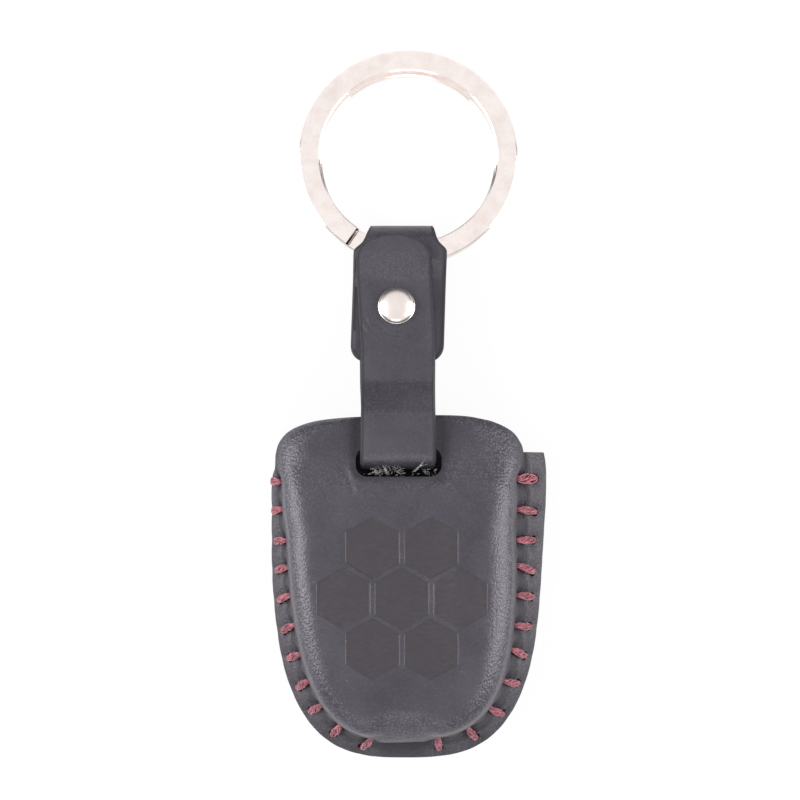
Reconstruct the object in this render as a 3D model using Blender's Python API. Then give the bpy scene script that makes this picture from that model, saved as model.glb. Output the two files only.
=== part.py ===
"""Leather key case with a strap, a folded tab and a flat split ring.

The case lies on its back: X to the right, +Y towards the ring, +Z up. Lengths are metres.
The origin is on the flat of the back shell that rests on the table.
"""
import math

import bmesh
import bpy
from mathutils import Matrix, Vector

# Case outline, measured from its widest line
WIDEST_LINE_Y = 0.0145
CASE_HALF_WIDTH = 0.0220
BOTTOM_REACH = 0.0418
TOP_REACH = 0.0132
BOTTOM_POWER = 3.1
TOP_POWER = 4.5
OUTLINE_COUNT = 56

# Case shells
LEATHER_THICKNESS = 0.0014
BACK_SEAM_Z = 0.0080
SEAM_GAP = 0.00025
SEAM_TRIM = 0.00005
SEAM_MARGIN = 0.0016
SEAM_TWIST = math.radians(2.5)
WIDEST_Z = 0.0052
FRONT_CORNER_WIDTH = 0.0095
FRONT_CORNER_HEIGHT = 0.0086
FRONT_CROWN = 0.0004
FRONT_INSET_SHARES = (0.0, 0.09, 0.17, 0.25, 0.40, 0.65, 1.0)
FRONT_RISE_SHARES = (0.0, 0.10, 0.22, 0.48, 0.76, 0.94, 1.0)
BACK_CORNER_WIDTH = 0.0060
BACK_INSET_SHARES = (0.0, 0.04, 0.17, 0.43, 1.0)
BACK_DROP_SHARES = (0.0, 0.35, 0.68, 0.92, 1.0)
INNER_SHARES = (0.88, 0.76, 0.60, 0.32)
BACK_SHIFT_X = 0.0003
BACK_EAR_REACH = 0.0006
TOP_INSET_SHARE = 0.15

# Mouth of the case
MOUTH_INSET_SHARES = (0.0, 0.01, 0.03, 0.08, 0.24, 0.55, 1.0)
MOUTH_DEPTH = 0.0056
MOUTH_FALL = 0.0035
MOUTH_RISE = 0.0030
MOUTH_BLEND = 0.0187
MOUTH_LIP_Z = 0.0118
BACK_TONGUE_Z = 0.0042
BACK_SETBACK = 0.0006
CUT_OVERRUN = 0.0100

# Slots for the strap
SLOT_CENTRE_X = -0.0010
BRIDGE_LENGTH = 0.0046
SLOT_LENGTH = 0.0046
SLOT_WIDTH = 0.0136
BACK_SLOT_LENGTH = 0.0023
SLOT_CORNER_RADIUS = 0.0014

# Stitches
STITCH_COUNT = 11
STITCH_SETBACK = 0.0049
BOTTOM_GAP = 0.0120
STITCH_SLANT = 0.0007
THREAD_RADIUS = 0.00042
HOLE_RADIUS = 0.00080
THREAD_GAP = 0.00030
FRONT_HOLE_LEVEL = 2.0
BACK_HOLE_LEVEL = 0.85
HOLE_SIDES = 8
SEAM_STEPS = 400
NEAR_SHARE = 0.0005

# Strap
STRAP_WIDTH = 0.0120
STRAP_THICKNESS = 0.0013
STRAP_X = -0.0012
STRAP_END_RADIUS = 0.0060
STRAP_REACH_PAST_FOLD = 0.0020
STRAP_BACK_REACH = 0.0038
STRAP_CLEARANCE = 0.0003
STRAP_FLOOR_GAP = 0.0001
BEND_RADIUS = 0.0010
WIDE_BEND_RADIUS = 0.0020

# Neck, where the strap bends against the case
NECK_REACH = 0.0063
NECK_Z = 0.0085
NECK_RADIUS = 0.0032
NECK_GAP = 0.0003
NECK_PINCH = 0.0016

# Tab folded over the ring
TAB_THICKNESS = 0.0011
TAB_WIDTH = 0.0151
TAB_WAIST = 0.0102
TAB_END_REACH = 0.0090
TAB_END_RADIUS = 0.0022
TAB_LEAF_GAP = 0.0003
FOLD_RADIUS = 0.0030
FOLD_TAPER = 0.0048
WAIST_LENGTH = 0.0024
FOLD_STEPS = 14

# Rivet
RIVET_FROM_NECK = 0.0118
RIVET_FROM_FOLD = 0.0091
RIVET_CAP_RADIUS = 0.0030
RIVET_CAP_HEIGHT = 0.0013
RIVET_RIM = 0.0003
RIVET_REAR_HEIGHT = 0.0007
RIVET_POST_RADIUS = 0.0014
RIVET_SOCKET_WALL = 0.0006
RIVET_FIT = 0.0002
ROUND_SIDES = 32

# Split ring
RING_OUTER_RADIUS = 0.0175
RING_BAND = 0.0034
RING_TURN_THICKNESS = 0.0010
RING_TURN_GAP = 0.0002
RING_DROP = 0.0009
RING_SHIFT_X = 0.0012
RING_END_ANGLE = math.radians(-125)
RING_JOG_ANGLE = math.radians(40)
RING_STEP_ANGLE = math.radians(6)
RING_FLOOR_GAP = 0.00005

# Values worked out from the sizes above
FRONT_SEAM_Z = BACK_SEAM_Z + SEAM_GAP
TOP_Y = WIDEST_LINE_Y + TOP_REACH
MOUTH_Y = TOP_Y - MOUTH_DEPTH
MOUTH_START_Y = TOP_Y - MOUTH_BLEND
SLOT_TOP_Y = TOP_Y - BRIDGE_LENGTH
STITCH_START_Y = MOUTH_Y - STITCH_SETBACK
FLARE_START_Y = STITCH_START_Y + THREAD_GAP
NECK_Y = TOP_Y + NECK_REACH
FOLD_OUTER = FOLD_RADIUS + TAB_THICKNESS
STACK_STRAP = TAB_LEAF_GAP / 2 + TAB_THICKNESS + STRAP_CLEARANCE + STRAP_THICKNESS / 2
STACK_HALF = STACK_STRAP + STRAP_THICKNESS / 2
FOLD_REACH = RIVET_FROM_NECK + RIVET_FROM_FOLD
RING_INNER_RADIUS = RING_OUTER_RADIUS - RING_BAND
RING_THICKNESS = 2 * RING_TURN_THICKNESS + RING_TURN_GAP
RING_CENTRE_FROM_FOLD = RING_INNER_RADIUS + RING_DROP
RING_FAR_REACH = FOLD_REACH + RING_CENTRE_FROM_FOLD + RING_OUTER_RADIUS
STRAP_TILT = math.asin((NECK_Z - RING_THICKNESS / 2 - RING_FLOOR_GAP) / RING_FAR_REACH)


def clear_scene():
    """Remove what the file opens with."""
    for item in list(bpy.data.objects):
        bpy.data.objects.remove(item)


def make_material(name, colour, roughness, metallic=0.0):
    """Plain Principled finish."""
    material = bpy.data.materials.new(name)
    material.use_nodes = True
    shader = material.node_tree.nodes["Principled BSDF"]
    shader.inputs["Base Color"].default_value = (*colour, 1.0)
    shader.inputs["Roughness"].default_value = roughness
    shader.inputs["Metallic"].default_value = metallic
    return material


def add_object(name, mesh_maker, material=None):
    """Object from a bmesh, shaded smooth with its sharp edges kept."""
    bmesh.ops.recalc_face_normals(mesh_maker, faces=mesh_maker.faces)
    mesh = bpy.data.meshes.new(name)
    mesh_maker.to_mesh(mesh)
    mesh_maker.free()
    mesh.shade_smooth()
    mesh.set_sharp_from_angle(angle=math.radians(40))
    item = bpy.data.objects.new(name, mesh)
    bpy.context.scene.collection.objects.link(item)
    if material:
        mesh.materials.append(material)
    return item


def add_pivot(name, place, tilt=0.0, parent=None):
    """Empty on a joint's axis."""
    pivot = bpy.data.objects.new(name, None)
    pivot.location = place
    pivot.rotation_euler = (tilt, 0.0, 0.0)
    pivot.parent = parent
    bpy.context.scene.collection.objects.link(pivot)
    return pivot


def hide_cutter(cutter):
    """Keep a cutting body out of the model."""
    cutter.hide_render = True
    cutter.display_type = "WIRE"


def cut_with(item, cutter, solver="EXACT"):
    """Take the cutter's volume out of a piece."""
    hide_cutter(cutter)
    modifier = item.modifiers.new(cutter.name, "BOOLEAN")
    modifier.operation = "DIFFERENCE"
    modifier.solver = solver
    modifier.object = cutter


def smooth_share(value):
    """Ease from 0 to 1."""
    value = min(1.0, max(0.0, value))
    return value * value * (3.0 - 2.0 * value)


def outline_point(angle, side_inset, top_inset, bottom_inset):
    """Point of the case outline in a direction from the middle of its widest line."""
    across, along = math.cos(angle), math.sin(angle)
    half = CASE_HALF_WIDTH - side_inset
    reach = TOP_REACH - top_inset if along > 0 else BOTTOM_REACH - bottom_inset
    power = TOP_POWER if along > 0 else BOTTOM_POWER
    radius = (abs(across / half) ** power + abs(along / reach) ** power) ** (-1.0 / power)
    return Vector((radius * across, WIDEST_LINE_Y + radius * along, 0.0))


def twisted(point):
    """Point of the front outline, which sits turned on the back."""
    return Matrix.Rotation(SEAM_TWIST, 4, "Z") @ point


def front_ring(angle, inset):
    """Front shell outline at an inset from the seam."""
    side = SEAM_MARGIN + inset
    return twisted(outline_point(angle, side, inset * TOP_INSET_SHARE, side))


def between(values, level):
    """Value between the entries of a table."""
    index = min(int(level), len(values) - 2)
    share = level - index
    return values[index] * (1.0 - share) + values[index + 1] * share


def back_ring(angle, inset):
    """Back shell outline at an inset from its widest line, with the ear at the mouth's right."""
    point = outline_point(angle, inset, inset * TOP_INSET_SHARE, inset)
    ear = BACK_EAR_REACH * max(0.0, point.x / CASE_HALF_WIDTH)
    point.x += BACK_SHIFT_X + ear * smooth_share(point.y / STITCH_START_Y)
    return point


def mouth_share(y):
    """How far a place is towards the mouth, from 0 to 1."""
    return smooth_share((y - MOUTH_START_Y) / (TOP_Y - MOUTH_START_Y))


def front_point(angle, level):
    """Point of the front shell's outer face; level 0 is the seam."""
    flare = smooth_share((front_ring(angle, 0.0).y - FLARE_START_Y) / (MOUTH_Y - FLARE_START_Y))
    sewn, plain = between(FRONT_INSET_SHARES, level), between(MOUTH_INSET_SHARES, level)
    corner = front_ring(angle, FRONT_CORNER_WIDTH * (sewn + (plain - sewn) * flare))
    rise = between(FRONT_RISE_SHARES, level)
    corner.z = FRONT_SEAM_Z + rise * (FRONT_CORNER_HEIGHT - MOUTH_FALL * mouth_share(corner.y))
    return corner


def back_point(angle, level):
    """Point of the back shell's outer face; level 0 is the seam and 1 is the widest."""
    if level <= 1.0:
        seam = front_ring(angle, 0.0)
        widest = back_ring(angle, 0.0)
        point = seam.lerp(widest, level)
        point.z = BACK_SEAM_Z + (WIDEST_Z - BACK_SEAM_Z) * level
        return point
    point = back_ring(angle, BACK_CORNER_WIDTH * between(BACK_INSET_SHARES, level - 1.0))
    drop = between(BACK_DROP_SHARES, level - 1.0)
    point.z = WIDEST_Z - drop * (WIDEST_Z - MOUTH_RISE * mouth_share(point.y))
    return point


def surface_normal(surface, angle, level):
    """Direction out of a shell at a place on its face."""
    step_share = 0.02
    around = surface(angle + step_share, level) - surface(angle - step_share, level)
    across = surface(angle, level + step_share) - surface(angle, max(0.0, level - step_share))
    normal = around.cross(across).normalized()
    middle = Vector((0.0, WIDEST_LINE_Y, BACK_SEAM_Z))
    return normal if normal.dot(surface(angle, level) - middle) > 0 else -normal


def shell_mesh(surface, levels, crown):
    """Outer face of a shell: rings from the seam inwards, closed by a pole."""
    maker = bmesh.new()
    angles = [math.tau * (step + 0.5) / OUTLINE_COUNT for step in range(OUTLINE_COUNT)]
    rings = [[surface(angle, level) for angle in angles] for level in levels]
    pole = Vector((0.0, WIDEST_LINE_Y - (BOTTOM_REACH - TOP_REACH) / 2, 0.0))
    corner = rings[-1]
    for share in INNER_SHARES:
        rings.append([inner_point(surface, point, pole, share, crown) for point in corner])
    rows = [[maker.verts.new(point) for point in ring] for ring in rings]
    for outer, inner in zip(rows, rows[1:]):
        for index in range(OUTLINE_COUNT):
            after = (index + 1) % OUTLINE_COUNT
            maker.faces.new((outer[index], outer[after], inner[after], inner[index]))
    centre = maker.verts.new((pole.x, pole.y, pole_height(surface) + crown))
    for index in range(OUTLINE_COUNT):
        maker.faces.new((rows[-1][index], rows[-1][(index + 1) % OUTLINE_COUNT], centre))
    return maker


def pole_height(surface):
    """Height of a shell's flat, away from its mouth."""
    return FRONT_SEAM_Z + FRONT_CORNER_HEIGHT if surface is front_point else 0.0


def inner_point(surface, point, pole, share, crown):
    """Point inside the corner rings, on the crown or the flat."""
    place = pole.lerp(Vector((point.x, point.y, 0.0)), share)
    bend = mouth_share(place.y)
    fall = MOUTH_FALL if surface is front_point else -MOUTH_RISE
    place.z = pole_height(surface) + crown * (1.0 - share * share) - fall * bend
    return place


def add_thickness(item, thickness):
    """Thickness of the leather, on the inside."""
    modifier = item.modifiers.new("leather", "SOLIDIFY")
    modifier.thickness = thickness
    modifier.offset = -1.0
    modifier.use_even_offset = True


def prism(points, thickness, axis_x=True):
    """Prism with its section in YZ, or in XY when axis_x is off, centred on its depth."""
    maker = bmesh.new()
    ends = []
    for side in (-0.5, 0.5):
        depth = side * thickness
        places = [(depth, a, b) if axis_x else (a, b, depth) for a, b in points]
        ends.append([maker.verts.new(place) for place in places])
    maker.faces.new(ends[0])
    maker.faces.new(list(reversed(ends[1])))
    count = len(points)
    for index in range(count):
        after = (index + 1) % count
        maker.faces.new((ends[0][index], ends[1][index], ends[1][after], ends[0][after]))
    return maker


def rounded_rectangle(low, high, radius, steps=4):
    """Corners of an upright rectangle with round corners."""
    points = []
    centres = ((high[0] - radius, high[1] - radius), (low[0] + radius, high[1] - radius),
               (low[0] + radius, low[1] + radius), (high[0] - radius, low[1] + radius))
    for quarter, (x, y) in enumerate(centres):
        for step in range(steps + 1):
            angle = math.pi / 2 * (quarter + step / steps)
            points.append((x + radius * math.cos(angle), y + radius * math.sin(angle)))
    return points


def slot_cutter(name, length, low_z, high_z):
    """Upright cutter for a strap slot."""
    low = (SLOT_CENTRE_X - SLOT_WIDTH / 2, SLOT_TOP_Y - length)
    high = (SLOT_CENTRE_X + SLOT_WIDTH / 2, SLOT_TOP_Y)
    maker = prism(rounded_rectangle(low, high, min(SLOT_CORNER_RADIUS, length / 3)), high_z - low_z, axis_x=False)
    cutter = add_object(name, maker)
    cutter.location.z = (low_z + high_z) / 2
    return cutter


def mouth_cutter(name, points):
    """Cutter across the whole mouth, with its section in YZ."""
    return add_object(name, prism(points, 2 * CASE_HALF_WIDTH + 2 * CUT_OVERRUN))


def corner_cutter(name):
    """Cutter that trims the back's mouth to a round tongue, just inside the front's edge."""
    steps = range(1, OUTLINE_COUNT)
    inner = [front_ring(math.pi * step / OUTLINE_COUNT, BACK_SETBACK) for step in steps]
    inner = [(point.x, point.y - BACK_SETBACK) for point in inner if point.y - BACK_SETBACK > MOUTH_Y]
    far_x, far_y = CASE_HALF_WIDTH + CUT_OVERRUN, TOP_Y + CUT_OVERRUN
    outline = [(far_x, MOUTH_Y)] + [(inner[0][0], MOUTH_Y)] + inner
    outline += [(inner[-1][0], MOUTH_Y), (-far_x, MOUTH_Y), (-far_x, far_y), (far_x, far_y)]
    return add_object(name, prism(outline, 4 * CUT_OVERRUN, axis_x=False))


def seam_stations(side):
    """Angles of the stitches on one side, even along the seam: side is 1 right or -1 left."""
    start = STITCH_START_Y
    angles, lengths = [], [0.0]
    steps = [math.pi / 2 - side * math.pi * step / SEAM_STEPS for step in range(SEAM_STEPS + 1)]
    for angle in steps:
        point = front_ring(angle, 0.0)
        if point.y > start or (point.y < 0 and side * point.x < BOTTOM_GAP / 2):
            continue
        if angles:
            lengths.append(lengths[-1] + (point - front_ring(angles[-1], 0.0)).length)
        angles.append(angle)
    return angles, lengths


def angle_at(angles, lengths, wanted):
    """Angle at a length along the seam."""
    wanted = min(max(wanted, 0.0), lengths[-1])
    for index in range(1, len(lengths)):
        if lengths[index] >= wanted:
            share = (wanted - lengths[index - 1]) / (lengths[index] - lengths[index - 1])
            return angles[index - 1] + (angles[index] - angles[index - 1]) * share
    return angles[-1]


def stitch_places(side):
    """Front and back hole of each stitch as (place, direction) pairs."""
    angles, lengths = seam_stations(side)
    run = lengths[-1] - STITCH_SLANT
    stitches = []
    for index in range(STITCH_COUNT):
        front = angle_at(angles, lengths, run * index / (STITCH_COUNT - 1))
        back = angle_at(angles, lengths, run * index / (STITCH_COUNT - 1) + STITCH_SLANT)
        middle = (front + back) / 2
        stitches.append({
            "front": (front_point(front, FRONT_HOLE_LEVEL),
                      surface_normal(front_point, front, FRONT_HOLE_LEVEL)),
            "back": (back_point(back, BACK_HOLE_LEVEL),
                     surface_normal(back_point, back, BACK_HOLE_LEVEL)),
            "seam": (back_point(middle, 0.3), surface_normal(back_point, middle, 0.3)),
        })
    return stitches


def hole_cutters(name, key):
    """All stitch holes of one shell as a single cutter of separate pins."""
    maker = bmesh.new()
    depth = 2 * (LEATHER_THICKNESS + THREAD_RADIUS + THREAD_GAP)
    for side in (-1, 1):
        for stitch in stitch_places(side):
            place, direction = stitch[key]
            turn = direction.to_track_quat("Z", "Y").to_matrix().to_4x4()
            bmesh.ops.create_cone(maker, cap_ends=True, segments=HOLE_SIDES, radius1=HOLE_RADIUS,
                                  radius2=HOLE_RADIUS, depth=depth,
                                  matrix=Matrix.Translation(place) @ turn)
    return add_object(name, maker)


def thread_route(side):
    """Points of a whip stitch: out of the front, over the seam, in at the back and on."""
    outside = THREAD_RADIUS + THREAD_GAP
    inside = LEATHER_THICKNESS + THREAD_RADIUS + THREAD_GAP
    route = []
    for stitch in stitch_places(side):
        front, front_way = stitch["front"]
        back, back_way = stitch["back"]
        seam, seam_way = stitch["seam"]
        route.append(front - front_way * inside)
        route.append(front + front_way * outside)
        route.append(seam + seam_way * (outside + THREAD_RADIUS / 2))
        route.append(back + back_way * outside)
        route.append(back - back_way * inside)
    return route


def add_thread(name, side, material):
    """Thread along one side as a bevelled curve."""
    curve = bpy.data.curves.new(name, "CURVE")
    curve.dimensions = "3D"
    curve.bevel_depth = THREAD_RADIUS
    curve.bevel_resolution = 1
    curve.use_fill_caps = True
    route = thread_route(side)
    spline = curve.splines.new("POLY")
    spline.points.add(len(route) - 1)
    for point, place in zip(spline.points, route):
        point.co = (*place, 1.0)
    item = bpy.data.objects.new(name, curve)
    bpy.context.scene.collection.objects.link(item)
    curve.materials.append(material)
    return item


def rounded_path(corners, radii, steps=5):
    """Path through corners (y, z), each rounded to its radius."""
    points = [Vector(corners[0])]
    for before, corner, after, radius in zip(corners, corners[1:], corners[2:], radii):
        here = Vector(corner)
        inward, outward = (Vector(before) - here).normalized(), (Vector(after) - here).normalized()
        half = inward.angle(outward) / 2
        if radius <= 0 or half > math.radians(89):
            points.append(here)
            continue
        centre = here + (inward + outward).normalized() * radius / math.sin(half)
        start, end = here + inward * radius / math.tan(half), here + outward * radius / math.tan(half)
        first, sweep = start - centre, (start - centre).angle_signed(end - centre)
        for step in range(steps + 1):
            turn = Matrix.Rotation(-sweep * step / steps, 2)
            points.append(centre + turn @ first)
    points.append(Vector(corners[-1]))
    return points


def running_lengths(points):
    """Length along a path at each of its points."""
    lengths = [0.0]
    for before, after in zip(points, points[1:]):
        lengths.append(lengths[-1] + (after - before).length)
    return lengths


def place_on(points, lengths, wanted):
    """Place on a path at a length from its start."""
    for index in range(1, len(points)):
        if lengths[index] >= wanted:
            share = (wanted - lengths[index - 1]) / (lengths[index] - lengths[index - 1])
            return points[index - 1].lerp(points[index], share)
    return points[-1]


def with_round_ends(points, start_round, end_round, steps=6):
    """Path with extra points near its ends, where a round end narrows."""
    lengths = running_lengths(points)
    shares = [1.0 - math.cos(math.pi / 2 * step / steps) for step in range(1, steps + 1)]
    wanted = list(lengths)
    wanted += [start_round * share for share in shares if start_round]
    wanted += [lengths[-1] - end_round * share for share in shares if end_round]
    kept = [0.0]
    for length in sorted(wanted):
        if length - kept[-1] > lengths[-1] * NEAR_SHARE:
            kept.append(length)
    return [place_on(points, lengths, length) for length in kept]


def strip_mesh(points, thickness, width_at):
    """Strip of leather along a path in YZ; width_at gives its half width at a length."""
    maker = bmesh.new()
    rows, length = [], 0.0
    for index, point in enumerate(points):
        before, after = points[max(0, index - 1)], points[min(len(points) - 1, index + 1)]
        if index:
            length += (point - points[index - 1]).length
        way = (after - before).normalized()
        normal = Vector((-way.y, way.x))
        half = width_at(length)
        high, low = point + normal * thickness / 2, point - normal * thickness / 2
        corners = ((-half, high), (half, high), (half, low), (-half, low))
        rows.append([maker.verts.new((x, place.x, place.y)) for x, place in corners])
    maker.faces.new(rows[0])
    maker.faces.new(list(reversed(rows[-1])))
    for first, second in zip(rows, rows[1:]):
        for side in range(4):
            after = (side + 1) % 4
            maker.faces.new((first[side], first[after], second[after], second[side]))
    return maker


def path_length(points):
    """Length of a path."""
    return running_lengths(points)[-1]


def round_end_width(half, corner, from_end):
    """Half width of a strip whose corners are round, at a distance from its end."""
    if from_end >= corner:
        return half
    gone = corner - max(from_end, 0.0)
    return half - corner + math.sqrt(max(corner * corner - gone * gone, 0.0))


def neck_corner(angle_from_middle):
    """Where a strap leg leaves the neck towards the case, in the tilted frame."""
    side = math.copysign(1.0, angle_from_middle)
    return Vector((-NECK_PINCH / 3, side * NECK_PINCH))


def to_world(point):
    """Place in YZ of a point of the tilted frame at the neck."""
    return Vector((NECK_Y, NECK_Z)) + Matrix.Rotation(-STRAP_TILT, 2) @ Vector(point)


def crest_z():
    """Height of the strap's middle over the front shell's bridge."""
    surface = FRONT_SEAM_Z + FRONT_CORNER_HEIGHT - MOUTH_FALL * mouth_share(SLOT_TOP_Y)
    return surface + FRONT_CROWN + STRAP_CLEARANCE + STRAP_THICKNESS / 2


def loop_corners():
    """Corners of the strap inside and around the case, front leg first."""
    reach = STRAP_THICKNESS / 2 + STRAP_CLEARANCE
    top, low = crest_z(), STRAP_FLOOR_GAP + STRAP_THICKNESS / 2
    pocket_y = SLOT_TOP_Y - reach
    front_start, back_start = to_world(neck_corner(1)), to_world(neck_corner(-1))
    return [front_start, (TOP_Y + reach / 2, top), (pocket_y, top), (pocket_y, low),
            (TOP_Y - BEND_RADIUS, low), back_start]


def build_strap_loop(material):
    """Strap through both slots and the pocket, up to the neck."""
    radii = [WIDE_BEND_RADIUS, BEND_RADIUS, BEND_RADIUS, WIDE_BEND_RADIUS]
    points = rounded_path(loop_corners(), radii)
    loop = add_object("strap_loop", strip_mesh(points, STRAP_THICKNESS, lambda length: STRAP_WIDTH / 2),
                      material)
    loop.location.x = STRAP_X
    radius = NECK_RADIUS + NECK_GAP
    circle = [(NECK_Y + radius * math.cos(math.tau * step / ROUND_SIDES),
               NECK_Z + radius * math.sin(math.tau * step / ROUND_SIDES)) for step in range(ROUND_SIDES)]
    cut_with(loop, add_object("neck_cutter", prism(circle, 4 * STRAP_WIDTH)))
    return loop


def strap_leg_points(side):
    """Path of one leg in the tilted frame; side is 1 front or -1 back."""
    target = Vector(loop_corners()[1 if side > 0 else -2])
    outward = Matrix.Rotation(STRAP_TILT, 2) @ (target - Vector((NECK_Y, NECK_Z)))
    start = neck_corner(side)
    far = start + (outward - start).normalized() * NECK_RADIUS * 1.6
    tab_end = (RIVET_FROM_NECK - TAB_END_REACH, side * STACK_STRAP)
    corners = [far, start, tab_end]
    if side < 0:
        corners.append((RIVET_FROM_NECK + STRAP_BACK_REACH, side * STACK_STRAP))
        return rounded_path(corners, [WIDE_BEND_RADIUS, WIDE_BEND_RADIUS])
    top = FOLD_OUTER + 2 * STRAP_CLEARANCE + STRAP_THICKNESS / 2
    corners += [(RIVET_FROM_NECK + RIVET_CAP_RADIUS + STRAP_CLEARANCE, STACK_STRAP),
                (FOLD_REACH - FOLD_RADIUS / 2, top), (FOLD_REACH + STRAP_REACH_PAST_FOLD, top)]
    return rounded_path(corners, [WIDE_BEND_RADIUS] * 4)


def neck_side_cutter(name):
    """Cutter for what lies on the case's side of the neck, hollow by the neck's radius."""
    arc = [(NECK_RADIUS * math.cos(turn), NECK_RADIUS * math.sin(turn))
           for turn in (math.pi * (0.5 + step / ROUND_SIDES) for step in range(ROUND_SIDES + 1))]
    far = 4 * NECK_RADIUS
    outline = arc + [(0.0, -far), (-far, -far), (-far, far), (0.0, far)]
    return add_object(name, prism(outline, 4 * STRAP_WIDTH))


def build_strap_leg(name, side, pivot, material):
    """One leg of the strap from the neck to its round end."""
    points = with_round_ends(strap_leg_points(side), 0.0, STRAP_END_RADIUS)
    length = path_length(points)
    leg = add_object(name, strip_mesh(
        points, STRAP_THICKNESS,
        lambda at: round_end_width(STRAP_WIDTH / 2, STRAP_END_RADIUS * 0.98, length - at)), material)
    leg.parent = pivot
    leg.location.x = STRAP_X
    cutter = neck_side_cutter(name + "_neck_cutter")
    cutter.parent = pivot
    cut_with(leg, cutter)
    cut_with(leg, rivet_hole(name + "_rivet_cutter", pivot))
    return leg


def rivet_hole(name, parent):
    """Cutter for the rivet's post, across the whole stack."""
    maker = bmesh.new()
    radius = RIVET_POST_RADIUS + RIVET_FIT
    bmesh.ops.create_cone(maker, cap_ends=True, segments=ROUND_SIDES, radius1=radius, radius2=radius,
                          depth=4 * STACK_HALF)
    cutter = add_object(name, maker)
    cutter.parent = parent
    cutter.location = (STRAP_X, RIVET_FROM_NECK, 0.0)
    return cutter


def tab_leaf(side):
    """Path of one leaf of the tab, from its end to the top of the fold."""
    level = TAB_LEAF_GAP / 2 + TAB_THICKNESS / 2
    middle = FOLD_RADIUS + TAB_THICKNESS / 2
    taper_y = FOLD_REACH - FOLD_TAPER
    slope = math.asin(FOLD_RADIUS / FOLD_TAPER) - math.atan(TAB_LEAF_GAP / 2 / FOLD_TAPER)
    points = [Vector((RIVET_FROM_NECK - TAB_END_REACH, side * level)), Vector((taper_y, side * level))]
    for step in range(FOLD_STEPS + 1):
        turn = (math.pi / 2 + slope) * (1 - step / FOLD_STEPS)
        points.append(Vector((FOLD_REACH + middle * math.cos(turn), side * middle * math.sin(turn))))
    return points


def tab_half_width(from_end, half_length):
    """Half width of the tab: round ends, full leaves and the waist in the fold."""
    from_end = min(from_end, 2 * half_length - from_end)
    from_fold = half_length - from_end
    wide = round_end_width(TAB_WIDTH / 2, TAB_END_RADIUS, from_end)
    full_from = WAIST_LENGTH + FOLD_OUTER
    share = smooth_share((from_fold - FOLD_OUTER) / (full_from - FOLD_OUTER))
    return min(wide, TAB_WAIST / 2 + (TAB_WIDTH - TAB_WAIST) / 2 * share)


def build_tab(pivot, material):
    """Tab folded over the ring."""
    front = tab_leaf(1)
    points = front[:-1] + tab_leaf(-1)[::-1]
    points = with_round_ends(points, TAB_END_RADIUS, TAB_END_RADIUS, steps=4)
    half_length = path_length(points) / 2
    tab = add_object("ring_tab", strip_mesh(points, TAB_THICKNESS,
                                            lambda at: tab_half_width(at, half_length)), material)
    tab.parent = pivot
    tab.location.y = -RIVET_FROM_NECK
    cutter = rivet_hole("tab_rivet_cutter", pivot)
    cutter.location = (0.0, 0.0, 0.0)
    cut_with(tab, cutter)
    return tab


def turned_mesh(profile):
    """Body turned about Z from a profile (radius, height) that starts and ends on the axis."""
    maker = bmesh.new()
    points = [maker.verts.new((radius, 0.0, height)) for radius, height in profile]
    edges = [maker.edges.new(pair) for pair in zip(points, points[1:])]
    bmesh.ops.spin(maker, geom=points + edges, axis=(0, 0, 1), cent=(0, 0, 0), dvec=(0, 0, 0),
                   angle=math.tau, steps=ROUND_SIDES, use_merge=True, use_normal_flip=False)
    bmesh.ops.remove_doubles(maker, verts=maker.verts, dist=RING_FLOOR_GAP / 10)
    return maker


def build_rivet(pivot, material):
    """Domed cap with its socket, and the post with its rear cap."""
    base = STACK_HALF + RIVET_FIT
    socket = RIVET_POST_RADIUS + RIVET_FIT / 2
    roof = base + RIVET_CAP_HEIGHT - RIVET_SOCKET_WALL
    dome = [(RIVET_CAP_RADIUS * math.cos(turn), base + RIVET_RIM
             + (RIVET_CAP_HEIGHT - RIVET_RIM) * math.sin(turn))
            for turn in (math.pi / 2 * (1 - step / 6) for step in range(7))]
    dome[0] = (0.0, dome[0][1])
    cap = turned_mesh([(0.0, roof), (socket, roof), (socket, base), (RIVET_CAP_RADIUS, base)] + dome[::-1])
    post_top = roof - RIVET_FIT
    rear = RIVET_CAP_RADIUS
    post = turned_mesh([(0.0, post_top), (RIVET_POST_RADIUS, post_top), (RIVET_POST_RADIUS, -base),
                        (rear, -base), (rear, -base - RIVET_REAR_HEIGHT / 2),
                        (rear - RIVET_REAR_HEIGHT / 2, -base - RIVET_REAR_HEIGHT),
                        (0.0, -base - RIVET_REAR_HEIGHT)])
    for name, maker in (("rivet_cap", cap), ("rivet_post", post)):
        piece = add_object(name, maker, material)
        piece.parent = pivot
        piece.location = (STRAP_X, RIVET_FROM_NECK, 0.0)


def ring_layer_height(turn):
    """Height of the wire's middle after a turn from its hidden end."""
    offset = (RING_TURN_THICKNESS + RING_TURN_GAP) / 2
    climb = (turn - (math.tau - RING_JOG_ANGLE)) / RING_JOG_ANGLE
    return offset * (2 * smooth_share(climb) - 1)


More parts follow.
